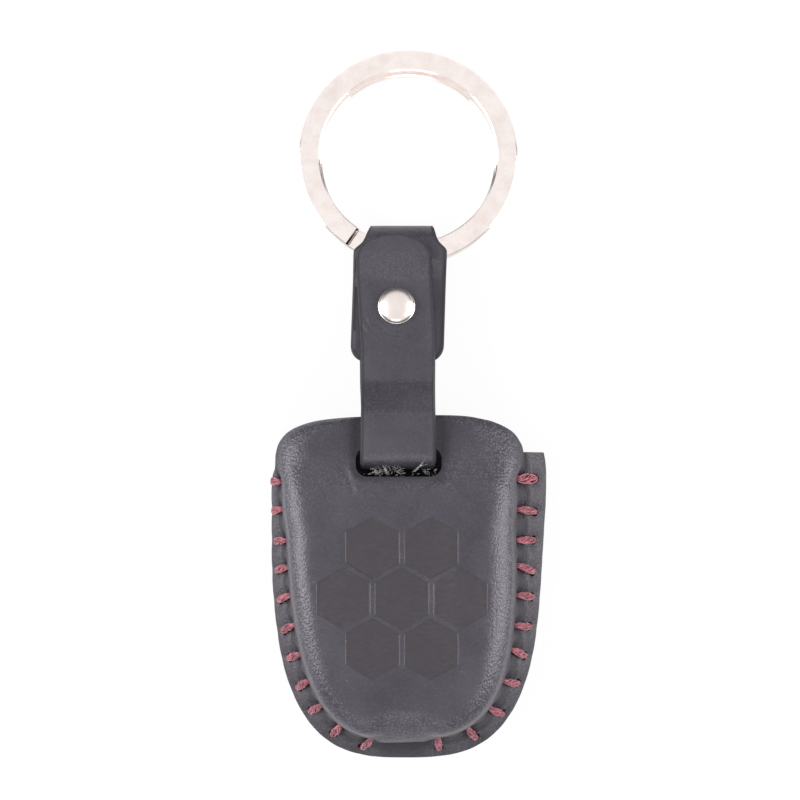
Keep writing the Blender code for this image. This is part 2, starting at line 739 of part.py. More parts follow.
def build_ring(pivot, material):
    """Flat wire wound in two turns."""
    maker = bmesh.new()
    rows, total = [], 2 * math.tau - RING_JOG_ANGLE
    count = round(total / RING_STEP_ANGLE)
    start = RING_END_ANGLE + RING_JOG_ANGLE
    half = RING_TURN_THICKNESS / 2
    for step in range(count + 1):
        turn = total * step / count
        height = ring_layer_height(turn)
        way = (math.cos(start + turn), math.sin(start + turn))
        section = ((RING_INNER_RADIUS, half), (RING_OUTER_RADIUS, half),
                   (RING_OUTER_RADIUS, -half), (RING_INNER_RADIUS, -half))
        rows.append([maker.verts.new((r * way[0], r * way[1], height + z)) for r, z in section])
    maker.faces.new(rows[0])
    maker.faces.new(list(reversed(rows[-1])))
    for first, second in zip(rows, rows[1:]):
        for side in range(4):
            after = (side + 1) % 4
            maker.faces.new((first[side], first[after], second[after], second[side]))
    ring = add_object("split_ring", maker, material)
    ring.parent = pivot
    ring.location = (RING_SHIFT_X, RING_CENTRE_FROM_FOLD, 0.0)
    return ring


def build_front_shell(material):
    """Front shell with its slot, its half of the mouth and its stitch holes."""
    levels = [0, 1, 2, 3, 4, 5, 6]
    shell = add_object("front_shell", shell_mesh(front_point, levels, FRONT_CROWN), material)
    add_thickness(shell, LEATHER_THICKNESS)
    low, high, edge = FRONT_SEAM_Z - CUT_OVERRUN, MOUTH_LIP_Z, FRONT_SEAM_Z + SEAM_TRIM
    start = WIDEST_LINE_Y - BOTTOM_REACH - CUT_OVERRUN
    mouth = [(start, low), (TOP_Y + CUT_OVERRUN, low), (TOP_Y + CUT_OVERRUN, high), (TOP_Y, high),
             (MOUTH_Y, edge), (start, edge)]
    cut_with(shell, mouth_cutter("front_mouth_cutter", mouth))
    cut_with(shell, slot_cutter("front_slot_cutter", SLOT_LENGTH, FRONT_SEAM_Z, FRONT_SEAM_Z + CUT_OVERRUN))
    cut_with(shell, hole_cutters("front_hole_cutter", "front"))
    return shell


def build_back_shell(material):
    """Back shell with its slot, its half of the mouth and its stitch holes."""
    levels = [0, 0.5, 1, 2, 3, 4, 5]
    shell = add_object("back_shell", shell_mesh(back_point, levels, 0.0), material)
    add_thickness(shell, LEATHER_THICKNESS)
    high = BACK_SEAM_Z + CUT_OVERRUN
    mouth = [(MOUTH_Y, high), (MOUTH_Y, BACK_SEAM_Z - LEATHER_THICKNESS), (TOP_Y, BACK_TONGUE_Z),
             (TOP_Y + CUT_OVERRUN, BACK_TONGUE_Z), (TOP_Y + CUT_OVERRUN, high)]
    for cutter in (mouth_cutter("back_mouth_cutter", mouth), corner_cutter("back_corner_cutter"),
                   slot_cutter("back_slot_cutter", BACK_SLOT_LENGTH, -CUT_OVERRUN, BACK_SEAM_Z),
                   hole_cutters("back_hole_cutter", "back")):
        cut_with(shell, cutter, "MANIFOLD")
    return shell


def build_model():
    """Every piece, from the case to the ring."""
    clear_scene()
    body = make_material("body_leather", (0.085, 0.080, 0.098), 0.42)
    strap = make_material("strap_leather", (0.075, 0.072, 0.085), 0.5)
    red = make_material("waxed_thread", (0.30, 0.02, 0.04), 0.6)
    nickel = make_material("nickel_plate", (0.86, 0.83, 0.80), 0.16, 1.0)
    build_front_shell(body)
    build_back_shell(body)
    add_thread("left_thread", -1, red)
    add_thread("right_thread", 1, red)
    build_strap_loop(strap)
    neck = add_pivot("neck_pivot", (0.0, NECK_Y, NECK_Z), -STRAP_TILT)
    build_strap_leg("strap_front_leg", 1, neck, strap)
    build_strap_leg("strap_back_leg", -1, neck, strap)
    build_rivet(neck, nickel)
    swivel = add_pivot("rivet_pivot", (STRAP_X, RIVET_FROM_NECK, 0.0), parent=neck)
    build_tab(swivel, strap)
    fold = add_pivot("fold_pivot", (0.0, RIVET_FROM_FOLD, 0.0), parent=swivel)
    build_ring(fold, nickel)
    bpy.context.view_layer.update()


build_model()
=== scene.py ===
"""Looks of a moulded leather key case with its strap, tab, rivet and split ring.

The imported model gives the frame. Sizes here are millimetres in the same axes: X to the right,
+Y from the case to the ring and +Z out of the front. Each sub-assembly is a class that makes its
own meshes and dresses them.
"""
import logging
import math
from collections.abc import Callable
from dataclasses import dataclass, field
from enum import Enum
from functools import partial, reduce

import bmesh
import bpy
import numpy as np
from mathutils import Matrix, Vector


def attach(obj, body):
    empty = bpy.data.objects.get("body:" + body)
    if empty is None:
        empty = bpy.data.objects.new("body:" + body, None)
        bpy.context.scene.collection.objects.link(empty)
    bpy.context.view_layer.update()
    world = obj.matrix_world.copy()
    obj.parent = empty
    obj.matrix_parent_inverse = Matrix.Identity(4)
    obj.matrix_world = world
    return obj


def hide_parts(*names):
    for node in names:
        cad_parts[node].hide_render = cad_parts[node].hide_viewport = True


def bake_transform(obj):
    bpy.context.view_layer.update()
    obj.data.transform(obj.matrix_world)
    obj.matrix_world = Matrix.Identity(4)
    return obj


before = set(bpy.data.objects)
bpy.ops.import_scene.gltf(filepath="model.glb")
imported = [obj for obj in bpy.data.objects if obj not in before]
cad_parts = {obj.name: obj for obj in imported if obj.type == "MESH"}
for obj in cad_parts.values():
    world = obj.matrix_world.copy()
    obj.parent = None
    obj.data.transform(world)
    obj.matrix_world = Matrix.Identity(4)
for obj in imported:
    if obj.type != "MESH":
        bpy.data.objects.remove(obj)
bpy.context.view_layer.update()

# Short names for the types that the hints below use most.
Array, Piece = np.ndarray, bpy.types.Object
Finish, Socket = bpy.types.Material, bpy.types.NodeSocket
Pair, Triple = tuple[float, float], tuple[float, float, float]
MM = 0.001
LOG = logging.getLogger("key_case")
# Directions across the three pairs of sides of a hexagon.
HEXAGON_TURNS = (0.0, math.pi / 3, 2 * math.pi / 3)


class Side(Enum):
    """Which run of stitches, or which edge of the case."""

    LEFT = -1
    RIGHT = 1


class Face(Enum):
    """Front or back of the case, the strap or the tab."""

    FRONT = 1
    BACK = -1


def linear(colour: str) -> tuple[float, float, float, float]:
    """Turn an sRGB hex colour into linear light.

    Args:
        colour: Hex value such as "#3c3a40".

    Returns:
        Linear red, green, blue and an alpha of 1.
    """
    values = [int(colour[i:i + 2], 16) / 255.0 for i in (1, 3, 5)]
    light = [v / 12.92 if v <= 0.04045 else ((v + 0.055) / 1.055) ** 2.4 for v in values]
    return (light[0], light[1], light[2], 1.0)


def feed(node: bpy.types.Node, inputs: dict | tuple) -> None:
    """Give a node its input values and links.

    Args:
        node: Node of a material or the world.
        inputs: Values or sockets, in order or by the input's name or number.
    """
    for key, value in inputs.items() if isinstance(inputs, dict) else enumerate(inputs):
        if isinstance(value, Socket):
            node.id_data.links.new(value, node.inputs[key])
        else:
            node.inputs[key].default_value = value


def add_node(tree: bpy.types.NodeTree, kind: str, inputs: dict | tuple = (),
             out: int | str = 0, **settings: str) -> Socket:
    """Add a shader node with its settings and links.

    Args:
        tree: Node tree of a material or the world.
        kind: Blender's node type after "ShaderNode", such as "Bump".
        inputs: Values or sockets, in order or by the input's name or number.
        out: Name or number of the output that is wanted.
        settings: Attributes of the node.

    Returns:
        The wanted output of the new node.
    """
    node = tree.nodes.new("ShaderNode" + kind)
    for name, value in settings.items():
        setattr(node, name, value)
    feed(node, inputs)
    return node.outputs[out]


def new_material(name: str) -> tuple[Finish, bpy.types.Node, Callable]:
    """Make an empty Principled material.

    Args:
        name: What the real material is and how its surface was made.

    Returns:
        The material, its Principled node and add_node for its own tree.
    """
    material = bpy.data.materials.new(name)
    material.use_nodes = True
    tree = material.node_tree
    return material, tree.nodes["Principled BSDF"], partial(add_node, tree)


def per_mm(size: float) -> float:
    """Texture scale that gives one cell for a size in millimetres."""
    return 1.0 / (size * MM)


def smooth(value: Array) -> Array:
    """Ease from 0 to 1."""
    value = np.clip(value, 0.0, 1.0)
    return value * value * (3.0 - 2.0 * value)


def bell(distance: Array, width: float) -> Array:
    """Soft bump that falls to a third at its width."""
    return np.exp(-(distance / width) ** 2)


def along_table(values: tuple[float, ...], level: Array) -> Array:
    """Read a table with a smooth curve through its entries.

    Args:
        values: Entries at levels 0, 1, 2 and so on.
        level: Places to read.

    Returns:
        Smoothly joined values.
    """
    table = np.array(values)
    index = np.clip(np.floor(level).astype(int), 0, len(table) - 2)
    t = level - index
    before, here = table[np.maximum(index - 1, 0)], table[index]
    after, last = table[index + 1], table[np.minimum(index + 2, len(table) - 1)]
    curve = 2 * here + (after - before) * t + (2 * before - 5 * here + 4 * after - last) * t * t
    return 0.5 * (curve + (3 * here - before - 3 * after + last) * t ** 3)


def unit(vectors: Array) -> Array:
    """Vectors brought to length one."""
    length = np.linalg.norm(vectors, axis=-1, keepdims=True)
    return vectors / np.maximum(length, 1e-9)


def grid_normals(grid: Array) -> Array:
    """Normals of a grid of points that closes on itself in its second direction.

    Args:
        grid: Points, rings by steps by three.

    Returns:
        Unit normals in the same layout.
    """
    around = np.roll(grid, -1, axis=1) - np.roll(grid, 1, axis=1)
    across = np.gradient(grid, axis=0)
    return unit(np.cross(around, across))


def mesh_object(name: str, points: Array, faces: list, material: Finish,
                sharp_degrees: float = 50.0) -> Piece:
    """Make an object from points in millimetres.

    Args:
        name: Name of the piece.
        points: Places, one row each.
        faces: Lists of point numbers.
        material: Finish of the whole piece.
        sharp_degrees: Edges steeper than this stay sharp.

    Returns:
        The object, linked to the scene.
    """
    mesh = bpy.data.meshes.new(name)
    mesh.from_pydata((np.asarray(points) * MM).tolist(), [], faces)
    mesh.validate()
    maker = bmesh.new()
    maker.from_mesh(mesh)
    bmesh.ops.recalc_face_normals(maker, faces=maker.faces)
    maker.to_mesh(mesh)
    maker.free()
    mesh.shade_smooth()
    mesh.set_sharp_from_angle(angle=math.radians(sharp_degrees))
    mesh.materials.append(material)
    item = bpy.data.objects.new(name, mesh)
    bpy.context.scene.collection.objects.link(item)
    return item


def closed_sheet(grid: Array, inner: Array) -> tuple[Array, list]:
    """Join an outer and an inner grid into one closed skin.

    Args:
        grid: Outer points, rings from the rim to the last ring, then closed by a pole.
        inner: Inner points in the same layout.

    Returns:
        Points and faces.
    """
    rings, steps = grid.shape[:2]
    poles = np.array([grid[-1].mean(axis=0), inner[-1].mean(axis=0)])
    points = np.concatenate([grid.reshape(-1, 3), inner.reshape(-1, 3), poles])
    faces = []
    offset, pole = rings * steps, 2 * rings * steps
    for step in range(steps):
        after = (step + 1) % steps
        for ring in range(rings - 1):
            a, b = ring * steps + step, ring * steps + after
            faces.append((a, b, b + steps, a + steps))
            faces.append((offset + b, offset + a, offset + a + steps, offset + b + steps))
        faces.append((offset + step, offset + after, after, step))
        last = (rings - 1) * steps
        faces.append((last + step, last + after, pole))
        faces.append((offset + last + after, offset + last + step, pole + 1))
    return points, faces


def swept(rows: Array, closed: bool = False) -> tuple[Array, list]:
    """Join rows of section points into one body with capped ends.

    Args:
        rows: Points, rows by section points by three.
        closed: Join the last row to the first instead of capping.

    Returns:
        Points and faces.
    """
    count, steps = rows.shape[:2]
    faces = [] if closed else [list(range(steps))[::-1],
                               list(range((count - 1) * steps, count * steps))]
    for row in range(count if closed else count - 1):
        here, there = row * steps, ((row + 1) % count) * steps
        for step in range(steps):
            after = (step + 1) % steps
            faces.append((here + step, here + after, there + after, there + step))
    return rows.reshape(-1, 3), faces


def joined(bodies: list[tuple[Array, list]]) -> tuple[Array, list]:
    """Put several bodies into one mesh.

    Args:
        bodies: Points and faces of each.

    Returns:
        Points and faces of all.
    """
    faces, count = [], 0
    for points, own in bodies:
        faces += [[number + count for number in face] for face in own]
        count += len(points)
    return np.concatenate([points for points, _ in bodies]), faces


def tube(line: Array, first: Array, second: Array, size: Array | float,
         sides: int) -> tuple[Array, list]:
    """Round body along a line.

    Args:
        line: Its middle.
        first: Direction across the line at each point.
        second: Direction across both.
        size: Radius, for all points or for each.
        sides: Corners of its section.

    Returns:
        Points and faces.
    """
    around = np.linspace(0.0, math.tau, sides, endpoint=False)
    ring = (first[:, None] * np.cos(around)[None, :, None]
            + second[:, None] * np.sin(around)[None, :, None])
    return swept(line[:, None] + size * ring)


def rounded_path(corners: list[Pair], radii: tuple[float, ...], step: float) -> Array:
    """Path through corners in YZ, each rounded, with even steps.

    Args:
        corners: Places (y, z) in millimetres.
        radii: Radius at each corner between the ends.
        step: Distance between the points that are returned.

    Returns:
        Points, one (y, z) row each.
    """
    points = [Vector(corners[0])]
    for before, corner, after, radius in zip(corners, corners[1:], corners[2:], radii):
        here = Vector(corner)
        inward, outward = (Vector(before) - here).normalized(), (Vector(after) - here).normalized()
        half = inward.angle(outward) / 2
        if half > math.radians(89):
            continue
        centre = here + (inward + outward).normalized() * radius / math.sin(half)
        start = here + inward * radius / math.tan(half)
        end = here + outward * radius / math.tan(half)
        first, sweep = start - centre, (start - centre).angle_signed(end - centre)
        turns = max(4, int(abs(sweep) * radius / step) + 2)
        points += [centre + Matrix.Rotation(-sweep * i / turns, 2) @ first
                   for i in range(turns + 1)]
    points.append(Vector(corners[-1]))
    line = np.array([tuple(point) for point in points])
    return resampled(line, step)


def resampled(line: Array, step: float) -> Array:
    """Same path with even steps.

    Args:
        line: Points of the path.
        step: Distance between the points that are returned.

    Returns:
        Points with even steps.
    """
    length = lengths_of(line)
    count = max(2, int(round(length[-1] / step)) + 1)
    wanted = np.linspace(0.0, length[-1], count)
    return np.stack([np.interp(wanted, length, line[:, i]) for i in range(line.shape[1])], axis=1)


def lengths_of(line: Array) -> Array:
    """Running length of a path at each point."""
    return np.concatenate([[0.0], np.cumsum(np.linalg.norm(np.diff(line, axis=0), axis=1))])


@dataclass(frozen=True)
class Leather:
    """Chrome-tanned cowhide with a pigmented top coat.

    The coat makes it dark and satin; the hide's pebble and pores stay as fine relief. Where the
    hide is pulled over a shoulder the grain opens and its crests are painted pale, partly as wear
    and partly as a painted highlight. A shade attribute darkens it with painted shade, and with the
    dye of cut edges.
    """

    name: str
    base: str = "#3b3940"
    low: str = "#2e2c33"
    # Pale crests on the shoulders: partly wear, partly a painted highlight.
    worn_and_highlight: str = "#7a7481"
    # Colour of painted shade on walls, seam, holes and hollows, and of the dye on cut edges.
    shade_and_edge_dye: str = "#161418"
    dust: str = "#a9a6ab"
    gloss_tint: str = "#f8f3fa"
    pebble_mm: float = 0.38
    pore_mm: float = 0.13
    # The pores are too fine to show at their real size, so they are drawn this much coarser.
    pore_coarseness: float = 3.5
    pore_turn: float = 0.25
    pore_stretch: Triple = (0.4, 1.0, 1.0)
    patch_mm: float = 7.0
    # Stretches of each noise that are spread over the whole change of tone or gloss.
    patch_window: Pair = (0.32, 0.68)
    crest_window: Pair = (0.12, 0.50)
    pore_window: Pair = (0.3, 0.7)
    rough_spread: Pair = (0.05, 0.07)
    wander_mm: float = 1.4
    wander_reach: float = 0.25
    relief_mm: float = 0.075
    roughness: float = 0.35
    sheen: float = 0.02
    # How level the hide lies where its grain is calm and where it is fully open.
    shoulder_tilt: Pair = (0.998, 0.90)
    calm_relief: float = 0.36
    shoulder_relief: float = 1.3
    # Strength of the pale crests: partly wear, partly a painted highlight.
    rubbed_highlight_share: float = 0.20
    shade_and_dye_roughness: float = 0.42
    dust_mm: float = 1.3
    dust_share: float = 0.35
    # Share of the cells without a speck, and a speck's radius as a share of its cell.
    dust_rarity: float = 0.82
    dust_size: float = 0.055
    printed: tuple = ()
    print_colour: str = "#2c272a"
    print_edge: float = 0.06
    print_depth: float = 0.06
    print_roughness: float = 0.10
    # The ink takes fully on the crests and this much in the pores.
    print_grip: Triple = (0.35, 0.65, 0.60)

    def hexagon_mask(self, add: Callable, place: Socket) -> Socket:
        """Mask that is 1 inside any of the printed hexagons.

        Args:
            add: add_node for the leather's tree.
            place: Object coordinates.

        Returns:
            Socket of the mask.
        """
        reaches = []
        for x, y in self.printed:
            offset = add("VectorMath", (place, (x * MM, y * MM, 0.0)), operation="SUBTRACT")
            across = [add("VectorMath", (offset, (math.cos(turn), math.sin(turn), 0.0)), "Value",
                          operation="DOT_PRODUCT") for turn in HEXAGON_TURNS]
            sides = [add("Math", (value,), operation="ABSOLUTE") for value in across]
            reaches.append(reduce(
                lambda far, side: add("Math", (side, far), operation="MAXIMUM"), sides))
        nearest = reduce(
            lambda near, reach: add("Math", (reach, near), operation="MINIMUM"), reaches)
        radius = Emblem().inner_radius
        return add("MapRange", (nearest, (radius - self.print_edge) * MM,
                                (radius + self.print_edge) * MM, 1.0, 0.0),
                   interpolation_type="SMOOTHSTEP")

    def build(self) -> Finish:
        """Make the material.

        Returns:
            The finish, with its colour, gloss and relief.
        """
        material, shader, add = new_material(self.name)
        place = add("TexCoord", out="Object")
        bend = add("TexNoise", {"Vector": place, "Scale": per_mm(self.wander_mm),
                                "Detail": 3.0}, "Color")
        bent = add("VectorMath", (bend, (self.wander_reach * MM,) * 3, place),
                   operation="MULTIPLY_ADD")
        pebble = add("TexVoronoi", {"Vector": bent, "Scale": per_mm(self.pebble_mm),
                                    "Smoothness": 0.35, "Randomness": 1.0}, feature="SMOOTH_F1")
        pulled = add("Mapping", {"Vector": bent, "Rotation": (0.0, 0.0, self.pore_turn),
                                 "Scale": self.pore_stretch})
        pores = add("TexNoise", {"Vector": pulled, "Detail": 3.0,
                                 "Scale": per_mm(self.pore_mm * self.pore_coarseness)})
        patches = add("TexNoise", {"Vector": place, "Scale": per_mm(self.patch_mm), "Detail": 4.0,
                                   "Roughness": 0.6})
        level = add("SeparateXYZ", (add("NewGeometry", out="Normal"),), "Z")
        shoulder = add("MapRange", (level, *self.shoulder_tilt, self.calm_relief,
                                    self.calm_relief + self.shoulder_relief),
                       interpolation_type="SMOOTHSTEP")
        tone = add("MapRange", (patches, *self.patch_window))
        colour = add("Mix", {0: tone, 6: linear(self.low), 7: linear(self.base)}, 2,
                     data_type="RGBA")
        # Painted highlight: grain crests turn pale where the hide tilts over a shoulder, partly as
        # wear.
        top = add("MapRange", (pebble, *self.crest_window, 1.0, 0.0))
        for share in (shoulder, self.rubbed_highlight_share):
            top = add("Math", (top, share), operation="MULTIPLY")
        colour = add("Mix", {0: top, 6: colour, 7: linear(self.worn_and_highlight)}, 2, data_type="RGBA")
        colour = self.add_dust(add, place, colour)
        less, more = self.rough_spread
        rough = add("MapRange", (pores, *self.pore_window, self.roughness - less,
                                 self.roughness + more))
        open_share = add("Math", (shoulder, patches), operation="MULTIPLY")
        dent = self.add_relief(add, pebble, pores, open_share)
        if self.printed:
            mask = self.hexagon_mask(add, place)
            grip = add("MapRange", (pores, *self.print_grip))
            inked = add("Math", (mask, grip), operation="MULTIPLY")
            colour = add("Mix", {0: inked, 6: colour, 7: linear(self.print_colour)}, 2,
                         data_type="RGBA")
            rough = add("Mix", {0: mask, 2: rough, 3: self.roughness + self.print_roughness},
                        data_type="FLOAT")
            dent = add("Math", (mask, -self.print_depth * MM, dent), operation="MULTIPLY_ADD")
        # The shade attribute darkens and roughens the coat: painted shade, and the dye of cut
        # edges.
        dye = add("Attribute", out="Fac", attribute_name="shade")
        rough = add("Math", (dye, self.shade_and_dye_roughness, rough), operation="MULTIPLY_ADD")
        colour = add("Mix", {0: dye, 6: colour, 7: linear(self.shade_and_edge_dye)}, 2, data_type="RGBA")
        bump = add("Bump", {"Height": dent, "Distance": 1.0, "Strength": 1.0})
        feed(shader, {"Base Color": colour, "Roughness": rough, "Normal": bump,
                      "Specular IOR Level": 0.5, "Specular Tint": linear(self.gloss_tint),
                      "Sheen Weight": self.sheen, "Sheen Roughness": 0.5})
        return material

    def add_relief(self, add: Callable, pebble: Socket, pores: Socket,
                   open_share: Socket) -> Socket:
        """Height of the hide's surface in metres.

        Args:
            add: add_node for the leather's tree.
            pebble: Cells of the grain.
            pores: Finest noise.
            open_share: How far the grain is pulled open.

        Returns:
            Socket of the height.
        """
        grain = add("Math", (pebble, -self.relief_mm * MM), operation="MULTIPLY")
        fine = add("Math", (pores, self.relief_mm * 1.1 * MM, grain), operation="MULTIPLY_ADD")
        return add("Math", (fine, open_share), operation="MULTIPLY")

    def add_dust(self, add: Callable, place: Socket, colour: Socket) -> Socket:
        """Tiny pale specks of dust that lie on the coat.

        Args:
            add: add_node for the leather's tree.
            place: Object coordinates.
            colour: Colour below the dust.

        Returns:
            Socket of the colour with the dust.
        """
        distance = add("TexVoronoi", {"Vector": place, "Scale": per_mm(self.dust_mm)}, feature="F1")
        chance = add("SeparateXYZ", (distance.node.outputs["Color"],), "X")
        speck = add("Math", (chance, self.dust_rarity), operation="GREATER_THAN")
        near = add("Math", (distance, self.dust_size), operation="LESS_THAN")
        for share in (near, self.dust_share):
            speck = add("Math", (speck, share), operation="MULTIPLY")
        return add("Mix", {0: speck, 6: colour, 7: linear(self.dust)}, 2, data_type="RGBA")


@dataclass(frozen=True)
class WaxedThread:
    """Polyester filaments, laid flat and waxed.

    Each filament has its own red, in random streaks that run from a dark painted shade through its
    base to a pale painted highlight.
    """

    name: str = "waxed_polyester_thread_flat"
    # Pale streaks are a painted highlight and the darkest colour a painted shade, laid at random
    # along each filament.
    light: str = "#ad5b69"
    base: str = "#7d3542"
    groove_shade: str = "#58232f"
    # Where in the noise the painted shade, the base and the painted highlight colour lie.
    stops: Triple = (0.36, 0.50, 0.66)
    streak_mm: float = 1.1
    # Fuzz of single filaments, drawn coarser than real so that it shows.
    fuzz_mm: float = 0.10
    fuzz_height: float = 0.05
    # Moves each filament to its own place in the noise, far from the others.
    strand_apart: float = 47.0
    roughness: float = 0.42
    sheen: float = 0.15

    def build(self) -> Finish:
        """Make the material.

        Returns:
            The finish, which reads along_mm and strand from the piece.
        """
        material, shader, add = new_material(self.name)
        along, strand = (add("Attribute", out="Fac", attribute_name=name)
                         for name in ("along_mm", "strand"))
        length = add("Math", (along, 1.0 / self.streak_mm), operation="MULTIPLY")
        shift = add("Math", (strand, self.strand_apart), operation="MULTIPLY")
        spot = add("CombineXYZ", (length, shift))
        streak = add("TexNoise", {"Vector": spot, "Scale": 1.0, "Detail": 3.0})
        fuzz = add("TexNoise", {"Vector": add("TexCoord", out="Object"), "Detail": 3.0,
                                "Scale": per_mm(self.fuzz_mm)})
        colour = add("ValToRGB", {"Fac": streak})
        elements = colour.node.color_ramp.elements
        shades = (self.groove_shade, self.base, self.light)
        for index, (stop, shade) in enumerate(zip(self.stops, shades)):
            element = elements[index] if index < 2 else elements.new(stop)
            element.position, element.color = stop, linear(shade)
        bump = add("Bump", {"Height": fuzz, "Distance": self.fuzz_height * MM, "Strength": 0.8})
        feed(shader, {"Base Color": colour, "Normal": bump, "Roughness": self.roughness,
                      "Sheen Weight": self.sheen})
        return material


@dataclass(frozen=True)
class NickelPlate:
    """Bright nickel over steel, tumbled and polished.

    It mirrors the room, with hair scratches, a faint haze and warm stains.
    """

    name: str
    base: str
    roughness: float
    # Hair scratches are far finer; they are drawn as coarse as they need to show.
    scratch_mm: float = 0.25
    scratch_stretch: float = 12.0
    scratch_height: float = 0.006
    scratch_turn: float = 0.7
    haze_mm: float = 2.2
    haze_window: Pair = (0.3, 0.7)
    haze_spread: Pair = (0.7, 1.4)
    stain: str = "#d3bbae"
    stain_mm: float = 2.6
    stain_window: Pair = (0.42, 0.72)
    stain_share: float = 0.30

    def build(self) -> Finish:
        """Make the material.

        Returns:
            The finish, with its stains, haze and scratches.
        """
        material, shader, add = new_material(self.name)
        place = add("TexCoord", out="Object")
        pulled = add("Mapping", {"Vector": place, "Rotation": (0.0, 0.0, self.scratch_turn),
                                 "Scale": (1.0, self.scratch_stretch, 1.0)})
        lines = add("TexNoise", {"Vector": pulled, "Detail": 4.0,
                                 "Scale": per_mm(self.scratch_mm * self.scratch_stretch)})
        haze = add("TexNoise", {"Vector": place, "Scale": per_mm(self.haze_mm), "Detail": 3.0})
        less, more = self.haze_spread
        rough = add("MapRange", (haze, *self.haze_window, self.roughness * less,
                                 self.roughness * more))
        bump = add("Bump", {"Height": lines, "Distance": self.scratch_height * MM, "Strength": 0.5})
        spots = add("TexNoise", {"Vector": place, "Scale": per_mm(self.stain_mm), "Detail": 5.0,
                                 "Roughness": 0.6})
        spots = add("MapRange", (spots, *self.stain_window, 0.0, self.stain_share))
        colour = add("Mix", {0: spots, 6: linear(self.base), 7: linear(self.stain)}, 2,
                     data_type="RGBA")
        feed(shader, {"Base Color": colour, "Roughness": rough, "Normal": bump, "Metallic": 1.0})
        return material


@dataclass(frozen=True)
class RawFibre:
    """Loose fibres of undyed hide and cotton fluff at a cut edge.

    They are pale and quite dull, with a slow change of grey from one to the next.
    """

    name: str = "raw_hide_fibres"
    base: str = "#c9c4c6"
    shadow: str = "#8b8789"
    change_mm: float = 0.2
    roughness: float = 0.9

    def build(self) -> Finish:
        """Make the material.

        Returns:
            The finish.
        """
        material, shader, add = new_material(self.name)
        fuzz = add("TexNoise", {"Vector": add("TexCoord", out="Object"),
                                "Scale": per_mm(self.change_mm)})
        colour = add("Mix", {0: fuzz, 6: linear(self.shadow), 7: linear(self.base)}, 2,
                     data_type="RGBA")
        feed(shader, {"Base Color": colour, "Roughness": self.roughness})
        return material


@dataclass(frozen=True)
class Emblem:
    """Plain honeycomb of seven cells, pressed into the front."""

    centre: Pair = (-0.5, -0.5)
    pitch: float = 9.2
    gap: float = 0.8
    depth: float = 0.10
    edge: float = 0.15

    @property
    def inner_radius(self) -> float:
        """Distance from a cell's middle to its sides."""
        return (self.pitch - self.gap) / 2

    def centres(self) -> tuple[Pair, ...]:
        """Middle of each cell.

        Returns:
            Places (x, y), the middle cell first.
        """
        x, y = self.centre
        around = [(x + self.pitch * math.cos(turn), y + self.pitch * math.sin(turn))
                  for turn in (math.pi / 3 * step for step in range(6))]
        return ((x, y), *around)

    def mask(self, points: Array) -> Array:
        """How far each point is inside a cell, from 0 to 1.

        Args:
            points: Places on the front.

        Returns:
            One share for each point.
        """
        nearest = np.full(points.shape[:-1], 1e9)
        for x, y in self.centres():
            reach = np.zeros(points.shape[:-1])
            for turn in HEXAGON_TURNS:
                side = (points[..., 0] - x) * math.cos(turn) + (points[..., 1] - y) * math.sin(turn)
                reach = np.maximum(reach, np.abs(side))
            nearest = np.minimum(nearest, reach)
        return smooth((self.inner_radius - nearest) / (2 * self.edge) + 0.5)


